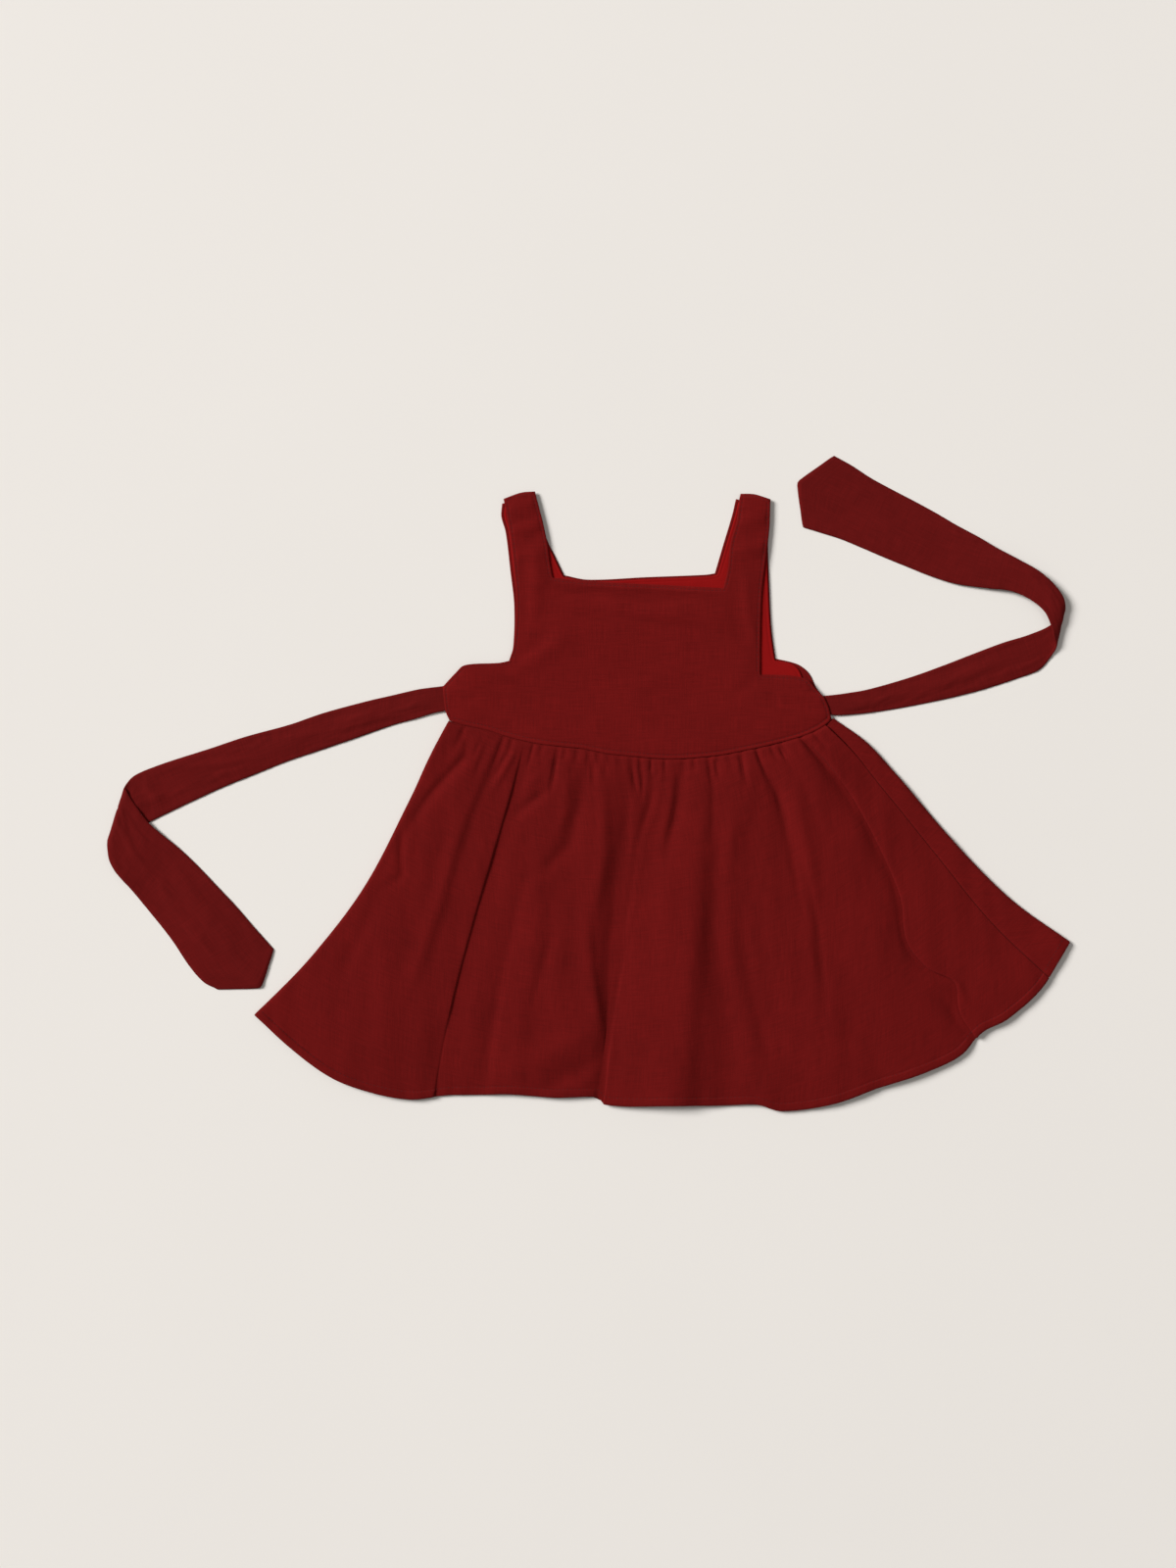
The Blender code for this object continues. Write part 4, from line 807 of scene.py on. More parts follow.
def fold_lines(angles, heights):
    """The lines that a fold's edge turns through, from the cloth under it to its top."""
    lines = []
    for open_step, folded_step, height in reversed(FOLD_EDGE):
        turned, levels = [], []
        for station, angle, top in zip(STATIONS, angles, heights):
            under = LOWEST_FRONT if station else heights[0]
            share = smooth_step(station, 0.0, FOLD_OPENS) * smooth_step(top - under, *OVERLAP_HEIGHTS)
            step = open_step * (1 - share) + folded_step * share
            turned.append(angle + math.degrees(step / radius_at(angle, station)))
            levels.append(under + (top - under) * height)
        lines.append((turned, levels))
    return lines


def ring_shift(table, distance):
    """A seam or fold line moved along the ring by a distance."""
    places = zip(STATIONS, table)
    return [angle + math.degrees(distance / radius_at(angle, station)) for station, angle in places]


def shifted_lines(table, rows):
    """Lines beside a seam or fold line, from their distances and heights."""
    return [(ring_shift(table, distance), heights) for distance, heights in rows]


def blended(points, per_span):
    """Points along an even cubic blend of control points, which starts and ends on them."""
    before = [tuple(2 * a - b for a, b in zip(points[0], points[1]))]
    after = [tuple(2 * a - b for a, b in zip(points[-1], points[-2]))]
    row = before + list(points) + after
    spans = len(points) - 1
    out = [blend_at(row[i : i + 4], k / per_span) for i in range(spans) for k in range(per_span)]
    return out + [blend_at(row[spans - 1 : spans + 3], 1.0)]


def blend_at(four, t):
    weights = (
        (1 - t) ** 3 / 6,
        (3 * t**3 - 6 * t * t + 4) / 6,
        (-3 * t**3 + 3 * t * t + 3 * t + 1) / 6,
        t**3 / 6,
    )
    return tuple(sum(w * p[k] for w, p in zip(weights, four)) for k in range(len(four[0])))


def stroke_relief(x, y, strokes):
    """The height that creases and puffs add at each place, tapered to their ends.

    Each stroke is a row of x, y places, a half width to either side of them, and a height.
    """
    height = np.zeros_like(x)
    for places, wide_left, wide_right, rise in strokes:
        lengths = [math.dist(a, b) for a, b in zip(places, places[1:])]
        total, before = sum(lengths), 0.0
        nearest = np.full_like(x, 1e9)
        along, side = np.zeros_like(x), np.ones_like(x)
        for (ax, ay), (bx, by), long in zip(places, places[1:], lengths):
            dx, dy = (bx - ax) / long, (by - ay) / long
            run = np.clip((x - ax) * dx + (y - ay) * dy, 0, long)
            off_x, off_y = x - ax - run * dx, y - ay - run * dy
            gap = np.hypot(off_x, off_y)
            closer = gap < nearest
            nearest = np.where(closer, gap, nearest)
            along = np.where(closer, before + run, along)
            side = np.where(closer, dx * off_y - dy * off_x, side)
            before += long
        taper = np.clip(np.minimum(along, total - along) / (STROKE_FADES * total), 0, 1)
        taper = STROKE_ENDS + (1 - STROKE_ENDS) * taper * taper * (3 - 2 * taper)
        wide = np.where(side > 0, wide_right, wide_left)
        height += rise * taper * np.exp(-((nearest / wide) ** 2))
    return height


STROKES_ON_SKIRT = [
    ([ring_point(angle, radius) for angle, radius in places], left, right, rise)
    for places, left, right, rise in SKIRT_STROKES
]


def swung(angle, share):
    """The angle of a place once the right fold's edge has swung sideways near the hem."""
    shift = 0.0
    for at, middle, swing, along, across in FOLD_SWINGS:
        shift += swing * math.exp(-(((share - at) / along) ** 2) - ((angle - middle) / across) ** 2)
    return angle + shift


def gather_height(angle, distance):
    """How far the gathers below the waist seam lower or raise the cloth."""
    start = smooth_step(distance, *PUFF_RISES)
    height = GATHER_PUFF * start * (1 - smooth_step(distance, *PUFF_FADES))
    for place, depth, reach in GATHERS:
        off = abs(angle - place) / GATHER_HALF_WIDTH
        if off < GATHER_REACH:
            fade = start * (1 - smooth_step(distance, GATHER_FADES * reach, reach))
            height -= depth * math.exp(-GATHER_SHARP * off * off) * fade
    side = SIDE_PUFF * smooth_step(angle, *SIDE_ANGLES)
    height += side * start * (1 - smooth_step(distance, *SIDE_FADES))
    pucker = PUCKER * ripple(angle * PUCKER_ACROSS, distance * PUCKER_DOWN, PUCKER_LONG, PUCKER_SEED)
    pucker *= smooth_step(distance, *PUCKER_RISES) * (1 - smooth_step(distance, *PUCKER_FADES))
    return height + pucker


def skirt_wrinkles(angle, radius, x, y, distance):
    """Soft wrinkles that run down the skirt."""
    arc = math.radians(angle) * radius

    def wrinkle(rise, stretch, long, seed):
        return rise * ripple(arc, radius * stretch, long, seed)

    height = BROAD_HEIGHT * ripple(x, y, BROAD_LONG, BROAD_SEED)
    height += sum(wrinkle(*row) for row in LONG_WRINKLES)
    near_hem = smooth_step(radius, *(hem_radius(angle) - up for up in HEM_WRINKLES_RISE))
    return height * smooth_step(distance, *WRINKLES_RISE) + near_hem * wrinkle(*HEM_WRINKLE)


def row_shares():
    """The rows from the waist seam to the hem as shares of the skirt's length."""
    room = 1 - (HEM_ROWS[0] + HEM_CLEAR) / SKIRT_LENGTH - FIRST_ROW
    shares = [FIRST_ROW + room * (j / (SKIRT_ROWS - 1)) ** ROW_SPREAD for j in range(SKIRT_ROWS)]
    return shares + [1 - distance / SKIRT_LENGTH for distance in HEM_ROWS]


def skirt_grid(lines, tucked, front):
    """Middle points of a skirt panel and the lengths along its cloth, [row, column, axis]."""
    shares = row_shares()
    grid, radii, firsts = [], [], []
    for row in range(-1, len(shares)):
        share = shares[max(row, 0)]
        controls = []
        for (angles, heights), tuck in zip(lines, tucked):
            angle = smooth_value(STATIONS, angles, share)
            height = smooth_value(STATIONS, heights, share)
            if tuck:
                angle = swung(angle, share)
            controls.append((angle, height, TUCK if tuck else -BACK_SEAM_GAP))
        line = blended(controls, PER_LINE)
        if row < 0:
            firsts = [point[0] for point in line]
        middle, reach = [], []
        for column, (angle, height, tuck) in enumerate(line):
            waist = waist_radius(angle)
            radius = radius_at(angle, share) if row >= 0 else waist - tuck
            x, y = ring_point(angle, radius)
            loose = 0.0
            if height > LOWEST_FRONT - TOUCH and row >= 0:
                loose = smooth_step(height - LOWEST_FRONT, *LOOSE_HEIGHTS)
                height += loose * skirt_wrinkles(angle, radius, x, y, radius - waist)
                if front:
                    height += gather_height(firsts[column], radius - waist)
                    loose *= smooth_step(radius - waist, *LOOSE_DISTANCES)
            middle.append((x, y, height, loose if front else 0.0))
            reach.append(radius)
        grid.append(middle)
        radii.append(reach)
    found = np.array(grid)
    grid, loose = found[..., :3], found[..., 3]
    raised = grid[..., 2] + loose * stroke_relief(grid[..., 0], grid[..., 1], STROKES_ON_SKIRT)
    # the floor of the folds is eased in, so that no crease ends in a flat
    lowest = LOWEST_FRONT - FLOOR_BELOW
    eased = lowest + 0.5 * (raised - lowest + np.sqrt((raised - lowest) ** 2 + FLOOR_EASE))
    settled = np.where(raised > lowest + FLOOR_CLEAR, raised, eased)
    grid[..., 2] = np.where(loose > 0, settled, grid[..., 2])
    steps = np.linalg.norm(np.diff(grid, axis=1), axis=2)
    arc = np.concatenate([np.zeros((len(grid), 1)), np.cumsum(steps, axis=1)], axis=1)
    return grid, np.stack([arc - arc[:, -1:] / 2, np.array(radii)], axis=2)


def skirt_thickness(cloth):
    """Half thicknesses of a skirt wall, with its turned hem and the stitch line along it."""
    distances = [FAR_FROM_HEM] * (SKIRT_ROWS + 1) + list(HEM_ROWS)

    def thick(grid, normal):
        out = np.full(grid.shape[:2], cloth / 2)
        back = out.copy()
        for j, distance in enumerate(distances):
            band = 1 - smooth_step(distance, HEM_BAND - HEM_STEP, HEM_BAND)
            groove = ridge(distance, HEM_STITCH, HEM_GROOVE_WIDE)
            edge = HEM_THIN + (1 - HEM_THIN) * smooth_step(distance, 0.0, HEM_FULL)
            shows = np.clip((grid[j, :, 2] - SHOWS_ABOVE) / SHOWS_OVER, 0, 1)
            upper = np.clip(normal[j, :, 2], 0, 1) * shows
            out[j] = (out[j] + upper * (HEM_LIFT * band - HEM_GROOVE * groove)) * edge
            back[j] *= edge
        return out, back

    return thick


def make_skirt_front(material):
    """The gathered front panel, from the hidden left seam round the fold edge to the right seam."""
    lines = [(LEFT_SEAM, ON_FLOOR)] + shifted_lines(LEFT_FOLD, LEFT_TURN)
    tucked = [False] * len(lines)
    for kind, angles, heights in SKIRT_LINES:
        levels = (WAIST_LEVEL, *heights)
        if kind == "fold":
            lines += fold_lines(angles, levels)
        elif kind == "drop":
            lines += drop_lines(angles, levels)
        else:
            lines.append((angles, levels))
    lines += shifted_lines(RIGHT_SEAM, FRONT_SEAM_EDGE)
    tucked += [True] * (len(lines) - len(tucked))
    grid, spread = skirt_grid(lines, tucked, True)
    return shell_from_grid("front_skirt_cloth", grid, spread, skirt_thickness(SKIRT_CLOTH), material)


def make_skirt_back(material):
    """The back panel, flat on the floor from the left seam and over the right fold edge."""
    left = ring_shift(LEFT_SEAM, SEAM_GAP + 2 * RIM)
    right = ring_shift(RIGHT_FOLD, -FLAT_STOPS)
    lines = []
    for k in range(FLAT_SPANS + 1):
        share = k / FLAT_SPANS
        lines.append(([a + (b - a) * share for a, b in zip(left, right)], ON_FLOOR))
    lines += shifted_lines(RIGHT_FOLD, RIGHT_TURN) + shifted_lines(RIGHT_SEAM, BACK_SEAM_EDGE)
    grid, spread = skirt_grid(lines, [False] * len(lines), False)
    return shell_from_grid("back_skirt_cloth", grid, spread, skirt_thickness(BACK_CLOTH), material)


# The bodice


def waist_line(ends, short):
    """The waist seam from right to left, or a line that stops short of it, as an even row of points."""
    low, high = ends
    count = math.ceil(math.radians(high - low) * waist_radius(0) / OUTLINE_STEP)
    rows = []
    for k in range(count + 1):
        angle = high + (low - high) * k / count
        place = ring_point(angle, waist_radius(angle) - short)
        rows.append((*place, "corner") if k in (0, count) else place)
    return rows


def outline_points(table, ends=WAIST_ENDS, short=0.0):
    """An outline's rows as evenly spaced points, with curves between the corners."""
    rows = []
    for row in table:
        rows += waist_line(ends, short) if row == "waist" else [row]
    corners = [i for i, row in enumerate(rows) if "corner" in row]
    points = []
    for k, start in enumerate(corners):
        stop = corners[(k + 1) % len(corners)]
        run = rows[start:stop] if stop > start else rows[start:] + rows[:stop]
        run = [row[:2] for row in run] + [rows[stop][:2]]
        places = [0.0]
        for a, b in zip(run, run[1:]):
            places.append(places[-1] + math.dist(a, b))
        count = max(round(places[-1] / OUTLINE_STEP), 1)
        for m in range(count):
            at = places[-1] * m / count
            points.append(tuple(smooth_value(places, [p[axis] for p in run], at) for axis in (0, 1)))
    return np.array(points)


def edge_distances(points, polygon):
    """The distance from each place to an outline."""
    ends = np.roll(polygon, -1, axis=0)
    run = ends - polygon
    best = np.full(len(points), 1e9)
    for start in range(0, len(points), BLOCK):
        block = points[start : start + BLOCK, None, :] - polygon[None]
        share = np.clip((block * run).sum(2) / (run * run).sum(1), 0, 1)
        gap = np.linalg.norm(block - share[..., None] * run, axis=2)
        best[start : start + BLOCK] = gap.min(axis=1)
    return best


def inside(points, polygon):
    """Whether each place lies inside an outline."""
    ends = np.roll(polygon, -1, axis=0)
    x, y = points[:, :1], points[:, 1:]
    crossing = (polygon[:, 1] > y) != (ends[:, 1] > y)
    rise = np.where(ends[:, 1] == polygon[:, 1], 1e-9, ends[:, 1] - polygon[:, 1])
    at = (ends[:, 0] - polygon[:, 0]) * (y - polygon[:, 1]) / rise + polygon[:, 0]
    return (crossing & (x < at)).sum(axis=1) % 2 == 1


def inset_ring(polygon, inset):
    """An outline moved inwards, without the points that would come too near another side."""
    before, after = np.roll(polygon, 1, axis=0), np.roll(polygon, -1, axis=0)
    run = after - before
    area = float((polygon[:, 0] * after[:, 1] - after[:, 0] * polygon[:, 1]).sum())
    inward = np.stack([-run[:, 1], run[:, 0]], axis=1) * (1 if area > 0 else -1)
    moved = polygon + inward / np.linalg.norm(inward, axis=1, keepdims=True) * inset
    keep = inside(moved, polygon) & (edge_distances(moved, polygon) > RING_CLEAR * inset)
    return moved[keep]


def panel_points(polygon):
    """The places that a panel's faces join: its edge, rings inside it and an even field."""
    low, high = polygon.min(axis=0), polygon.max(axis=0)
    rows = []
    step_y = PANEL_STEP * NET_ROW
    for j in range(math.ceil((high[1] - low[1]) / step_y) + 1):
        count = math.ceil((high[0] - low[0]) / PANEL_STEP) + 1
        x = low[0] + (np.arange(count) + 0.5 * (j % 2)) * PANEL_STEP
        rows.append(np.stack([x, np.full(count, low[1] + j * step_y)], axis=1))
    field = np.concatenate(rows)
    field = field[inside(field, polygon)]
    field = field[edge_distances(field, polygon) > EDGE_RINGS[-1] + FIELD_CLEAR * PANEL_STEP]
    return np.concatenate([inset_ring(polygon, inset) for inset in EDGE_RINGS] + [field])


def waist_gap(x, y):
    """How far a place lies above the waist seam."""
    off_x, off_y = x - APEX_X, APEX_Y - y
    return waist_radius(math.degrees(math.atan2(off_x, off_y))) - math.hypot(off_x, off_y)


def panel(name, polygon, heights, cloth, material, waist_seam=False):
    """A cut panel as a wall with a rolled edge.

    heights gives its lower face's heights from arrays of x, y and distance to the edge.
    """
    places = np.concatenate([polygon, panel_points(polygon)])
    corners = [Vector(p) for p in places.tolist()]
    found = delaunay_2d_cdt(corners, [], [list(range(len(polygon)))], 1, 1e-4)
    points, faces = np.array([p[:] for p in found[0]]), found[2]
    gap = edge_distances(points, polygon)
    rolled = np.clip(gap / EDGE_ROLL, 0, 1)
    thin = 0.5 * cloth * (1 - EDGE_THIN) * (1 - np.sqrt(1 - (1 - rolled) ** 2))
    low = heights(points[:, 0], points[:, 1], gap)
    seam = EDGE_DEPTH * ridge(gap, EDGE_GROOVE, GROOVE_WIDE)
    if waist_seam:
        above = np.vectorize(waist_gap)(points[:, 0], points[:, 1])
        seam += STITCH_DEPTH * ridge(above, STITCH_INSET, GROOVE_WIDE)
        seam -= RIDGE_HEIGHT * ridge(above, RIDGE_PLACE, RIDGE_WIDE)
    count = len(points)
    solid = np.vstack([np.column_stack([points, z]) for z in (low + thin, low + cloth - thin - seam)])
    walls, used = [], {}
    for face in faces:
        walls.append(tuple(face[::-1]))
        walls.append(tuple(i + count for i in face))
        for a, b in zip(face, face[1:] + face[:1]):
            used[min(a, b), max(a, b)] = used.get((min(a, b), max(a, b)), 0) + 1
    for (a, b), uses in used.items():
        if uses == 1:
            walls.append((a, b, b + count, a + count))
    spread = np.concatenate([points, points])
    return add_piece(name, solid.tolist(), walls, spread, material)


def shoulder_depth(x, y):
    """How far a place lies from the nearer shoulder's end, along the strap."""
    depths = []
    for end_x, end_y, slant in SHOULDERS:
        turn = math.radians(slant)
        if abs(x - end_x) < STRAP_REACH:
            depths.append((end_y - y) * math.cos(turn) + (x - end_x) * math.sin(turn))
    return max(min(depths), 0.0) if depths else float("inf")


def relief(x, y, rows):
    """Creases and puffs from a table, at arrays of places."""
    height = np.zeros_like(x)
    for at_x, at_y, long, wide, slope, rise in rows:
        turn = math.radians(slope)
        along = ((x - at_x) * math.cos(turn) + (y - at_y) * math.sin(turn)) / long
        across = ((y - at_y) * math.cos(turn) - (x - at_x) * math.sin(turn)) / wide
        height += rise * np.exp(-along * along - across * across)
    return height


def front_heights(x, y, gap):
    """The heights of the bodice front's lower face."""
    heights = np.full_like(x, FRONT_BASE)
    for at_x, at_y, top, full, last in FRONT_LIFTS:
        off = np.hypot(x - at_x, y - at_y)
        heights += (top - FRONT_BASE) * (1 - np.vectorize(smooth_step)(off, full, last))
    soft = relief(x, y, FRONT_RELIEF) + stroke_relief(x, y, FRONT_STROKES)
    for rise, across, up, long, seed in FRONT_WRINKLES:
        soft += rise * ripples(x * across, y * up, long, seed)
    heights += FRONT_LOFT * np.clip(gap / LOFT_OVER, 0, 1)
    heights += np.clip(gap / RELIEF_OVER, RELIEF_LEAST, 1) * soft
    heights = np.maximum(heights, FRONT_BASE)
    above = np.vectorize(waist_gap)(x, y)
    ease = WAIST_EASE * np.clip(1 - above / LINING_SHORT, 0, 1)
    heights -= ease * (heights < FRONT_BASE + EASED_BELOW)
    roll = np.vectorize(smooth_step)(np.vectorize(shoulder_depth)(x, y), 0.0, SHOULDER_ROLL)
    return SHOULDER_LOW + (heights - SHOULDER_LOW) * roll


def make_bodice_front(material):
    """The double front, cut in one with its straps."""
    polygon = outline_points(FRONT_OUTLINE)
    return panel("front_bodice_cloth", polygon, front_heights, BODICE_CLOTH, material, True)


def make_bodice_back(outer, lining):
    """The back's outer layer on the floor and its lining on top."""
    polygon = outline_points(BACK_OUTLINE)
    back = panel("back_bodice_cloth", polygon, lambda x, y, gap: BACK_LIFT + 0 * x, BACK_CLOTH, outer)
    above = [row for row in BACK_OUTLINE if row == "waist" or row[1] > LINING_TOP]
    cut = above.index("waist")
    table = above[:cut] + list(LINING_SIDES) + above[cut + 1 :]
    polygon = inset_ring(outline_points(table, LINING_ENDS, LINING_SHORT), LINING_RIM)
    polygon = polygon + [LINING_SHIFT, 0.0]

    def heights(x, y, gap):
        return LINING_BASE + LINING_LIFT + LINING_WRINKLE * ripples(x, y, LINING_LONG, LINING_SEED)

    return back, panel("back_lining_cloth", polygon, heights, BACK_CLOTH, lining)


# The ties


def eased_rows(table, step):
    """A tie's rows with even steps on a curve through them."""
    places = [0.0]
    for a, b in zip(table, table[1:]):
        middle_a = [(a[0] + a[2]) / 2, (a[1] + a[3]) / 2, a[4]]
        middle_b = [(b[0] + b[2]) / 2, (b[1] + b[3]) / 2, b[4]]
        places.append(places[-1] + max(math.dist(middle_a, middle_b), 1.0))
    rows = []
    for i in range(len(table) - 1):
        count = max(round((places[i + 1] - places[i]) / step), 2)
        for k in range(count):
            at = places[i] + (places[i + 1] - places[i]) * k / count
            rows.append([at] + [smooth_value(places, [row[c] for row in table], at) for c in range(7)])
    rows.append([places[-1], *table[-1]])
    return rows


def make_tie(name, table, material, seed, lean_share=0.0, folded=False):
    """A tie as a ribbon over its rows, a little crumpled along its length, with a pointed end.

    A folded tie has no puffs where its cloth lies on top of itself.
    """
    rows = eased_rows(table, TIE_STEP)
    grid, spread = [], []
    across = np.linspace(0, 1, TIE_ACROSS + 1)
    for j, (at, ax, ay, bx, by, height, arch, point) in enumerate(rows):
        before = rows[max(j - 1, 0)]
        run_x = (ax + bx - before[1] - before[3]) / 2
        run_y = (ay + by - before[2] - before[4]) / 2
        run = max(math.hypot(run_x, run_y), 1e-6)
        wide = math.hypot(bx - ax, by - ay)
        loose = smooth_step(at, *TIE_LOOSE)
        line, lengths = [], []
        for share in across.tolist():
            push = max(point, 0.0) * (1 - math.sqrt((2 * share - 1) ** 2 + TIP_ROUND))
            lean = push * lean_share / max(wide, 1.0)
            x = ax + (bx - ax) * (share + lean) + run_x / run * push
            y = ay + (by - ay) * (share + lean) + run_y / run * push
            middle = max(math.sin(math.pi * share), 0.0)
            crumple = 0.0
            for rise, stretch, long, added in CRUMPLES:
                crumple += rise * ripple(share * wide, at * stretch, long, seed + added)
            pucker = ripple(share * wide * PUCKER_STRETCH, at, EDGE_PUCKER_LONG, seed + EDGE_PUCKER_SEED)
            pucker *= EDGE_PUCKER * (1 - middle)
            lift = max(crumple, CRUMPLE_LEAST) * middle**0.5 + max(pucker, PUCKER_LEAST)
            line.append((x, y, height + arch * middle**2 + loose * lift))
            lengths.append(((share - 0.5) * wide, at))
        grid.append(line)
        spread.append(lengths)
    grid = np.array(grid)
    puffs = stroke_relief(grid[..., 0], grid[..., 1], TIE_STROKES)
    if folded:
        puffs *= np.clip(2 - grid[..., 2] / PUFF_HEIGHT, 0, 1)
    grid[..., 2] += puffs * np.maximum(np.sin(math.pi * across), 0) ** 0.3
    edge = np.minimum(across, 1 - across) / TIE_EDGE
    rolled = TIE_THIN + (1 - TIE_THIN) * np.sqrt(1 - (1 - np.clip(edge * 2, 0, 1)) ** 2)
    half = TIE_CLOTH / 2 * rolled - TIE_DIP * np.exp(-((edge - 2.0) ** 2) * 2)

    def thick(points, normal):
        halves = np.tile(half, (points.shape[0], 1))
        return halves, halves

    return shell_from_grid(name, grid, np.array(spread), thick, material)


# Nodes


def set_inputs(tree, node, inputs):
    """Sets a node's inputs, each to a value or joined to a socket."""
    for label, value in inputs.items():
        if isinstance(value, bpy.types.NodeSocket):
            tree.links.new(value, node.inputs[label])
        else:
            node.inputs[label].default_value = value


def add_node(tree, kind, inputs=None):
    node = tree.nodes.new(kind)
    set_inputs(tree, node, inputs or {})
    return node


def maths(tree, kind, *values):
    """What a Math node makes of sockets or numbers."""
    node = add_node(tree, "ShaderNodeMath", dict(enumerate(values)))
    node.operation = kind
    return node.outputs[0]


def vector_maths(tree, kind, inputs):
    node = tree.nodes.new("ShaderNodeVectorMath")
    node.operation = kind
    set_inputs(tree, node, inputs)
    return node.outputs["Vector"]


def new_group(name, kind, takes, gives):
    """A node group with its sockets, what its input node puts out, and its output node."""
    tree = bpy.data.node_groups.new(name, kind)
    for way, sockets in (("INPUT", takes), ("OUTPUT", gives)):
        for label, carries in sockets:
            tree.interface.new_socket(label, in_out=way, socket_type="NodeSocket" + carries)
    return tree, tree.nodes.new("NodeGroupInput").outputs, tree.nodes.new("NodeGroupOutput")


# Stitches, made with Geometry Nodes


def stitch_tree(thread):
    """A node tree that sets short stitches end to end along each line of its mesh."""
    shape = ("Geometry", "Geometry")
    sizes = [(label, "Float") for label in ("Pitch", "Stitch Length", "Thread Thickness")]
    tree, given, result = new_group("stitch rows", "GeometryNodeTree", [shape, *sizes], [shape])
    curve = add_node(tree, "GeometryNodeMeshToCurve", {"Mesh": given["Geometry"]})
    spaced = tree.nodes.new("GeometryNodeResampleCurve")
    spaced.mode = "LENGTH"
    set_inputs(tree, spaced, {"Curve": curve.outputs["Curve"], "Length": given["Pitch"]})
    ball = add_node(tree, "GeometryNodeMeshIcoSphere", {"Radius": 0.5, "Subdivisions": 2})
    long, thick = given["Stitch Length"], given["Thread Thickness"]
    size = add_node(tree, "ShaderNodeCombineXYZ", {"X": long, "Y": thick, "Z": thick})
    tangent = add_node(tree, "GeometryNodeInputTangent")
    turn = add_node(tree, "FunctionNodeAlignRotationToVector", {"Vector": tangent.outputs["Tangent"]})
    turn.axis = "X"
    placed = {
        "Points": spaced.outputs["Curve"],
        "Instance": ball.outputs["Mesh"],
        "Rotation": turn.outputs["Rotation"],
        "Scale": size.outputs["Vector"],
    }
    place = add_node(tree, "GeometryNodeInstanceOnPoints", placed)
    real = add_node(tree, "GeometryNodeRealizeInstances", {"Geometry": place.outputs["Instances"]})
    smooth = add_node(tree, "GeometryNodeSetShadeSmooth", {"Geometry": real.outputs["Geometry"]})
    covered = {"Geometry": smooth.outputs["Geometry"], "Material": thread}
    finish = add_node(tree, "GeometryNodeSetMaterial", covered)
    set_inputs(tree, result, {"Geometry": finish.outputs["Geometry"]})
    return tree


def make_stitches(name, lines, tree):
    """Rows of stitches along lines of points in millimetres."""
    points, edges = [], []
    for line in lines:
        first = len(points)
        points += [metres(*place) for place in line]
        edges += [(first + k, first + k + 1) for k in range(len(line) - 1)]
    mesh = bpy.data.meshes.new(name)
    mesh.from_pydata(points, edges, [])
    carrier = add_object(name + "_lines", mesh)
    setting = carrier.modifiers.new("stitches", "NODES")
    setting.node_group = tree
    values = {"Pitch": STITCH_PITCH, "Stitch Length": STITCH_LONG, "Thread Thickness": THREAD}
    for item in tree.interface.items_tree:
        if item.in_out == "INPUT" and item.name in values:
            setting[item.identifier] = values[item.name] * MM
    graph = bpy.context.evaluated_depsgraph_get()
    made = bpy.data.meshes.new_from_object(carrier.evaluated_get(graph))
    made.name = name
    piece = add_object(name, made)
    carrier.modifiers.remove(setting)
    bpy.data.objects.remove(carrier)
    return piece


def on_cloth(piece, places):
    """Points on a piece's upper face under places in millimetres, a little sunk into the cloth."""
    mesh = piece.data
    tree = BVHTree.FromPolygons([v.co for v in mesh.vertices], [tuple(p.vertices) for p in mesh.polygons])
    lines = [[]]
    for x, y in places:
        hit = tree.ray_cast(Vector(metres(x, y, DROPPED_FROM)), Vector((0, 0, -1)))[0]
        if hit is None or (lines[-1] and abs(hit.z / MM - lines[-1][-1][2]) > CLOTH_STEP):
            lines.append([])
        if hit is not None:
            lines[-1].append((x, y, hit.z / MM - SUNK * THREAD))
    return [line for line in lines if len(line) > FEWEST_PLACES]


def ring_places(radius, inset, ends, count):
    """Places along the waist seam or the hem, a distance further in."""
    low, high = ends
    angles = [low + (high - low) * k / count for k in range(count + 1)]
    return [ring_point(angle, radius(angle) - inset) for angle in angles]


def edge_places(inset):
    """Places along the front bodice's free edges, a distance in from them."""
    ring = inset_ring(outline_points(FRONT_OUTLINE), inset).tolist()
    clear = [waist_gap(x, y) > 2 * inset for x, y in ring]
    start = clear.index(False)
    turned = zip(ring[start:] + ring[:start], clear[start:] + clear[:start])
    return [place for place, free in turned if free]


# Materials


def linear(colour):
    """An sRGB colour from 0 to 255 as linear values."""
    out = []
    for value in colour:
        share = value / 255
        out.append(share / 12.92 if share <= 0.04045 else ((share + 0.055) / 1.055) ** 2.4)
    return (*out, 1.0)


def new_material(name):
    """A material, its node tree and its shader."""
    material = bpy.data.materials.new(name)
    material.use_nodes = True
    return material, material.node_tree, material.node_tree.nodes["Principled BSDF"]


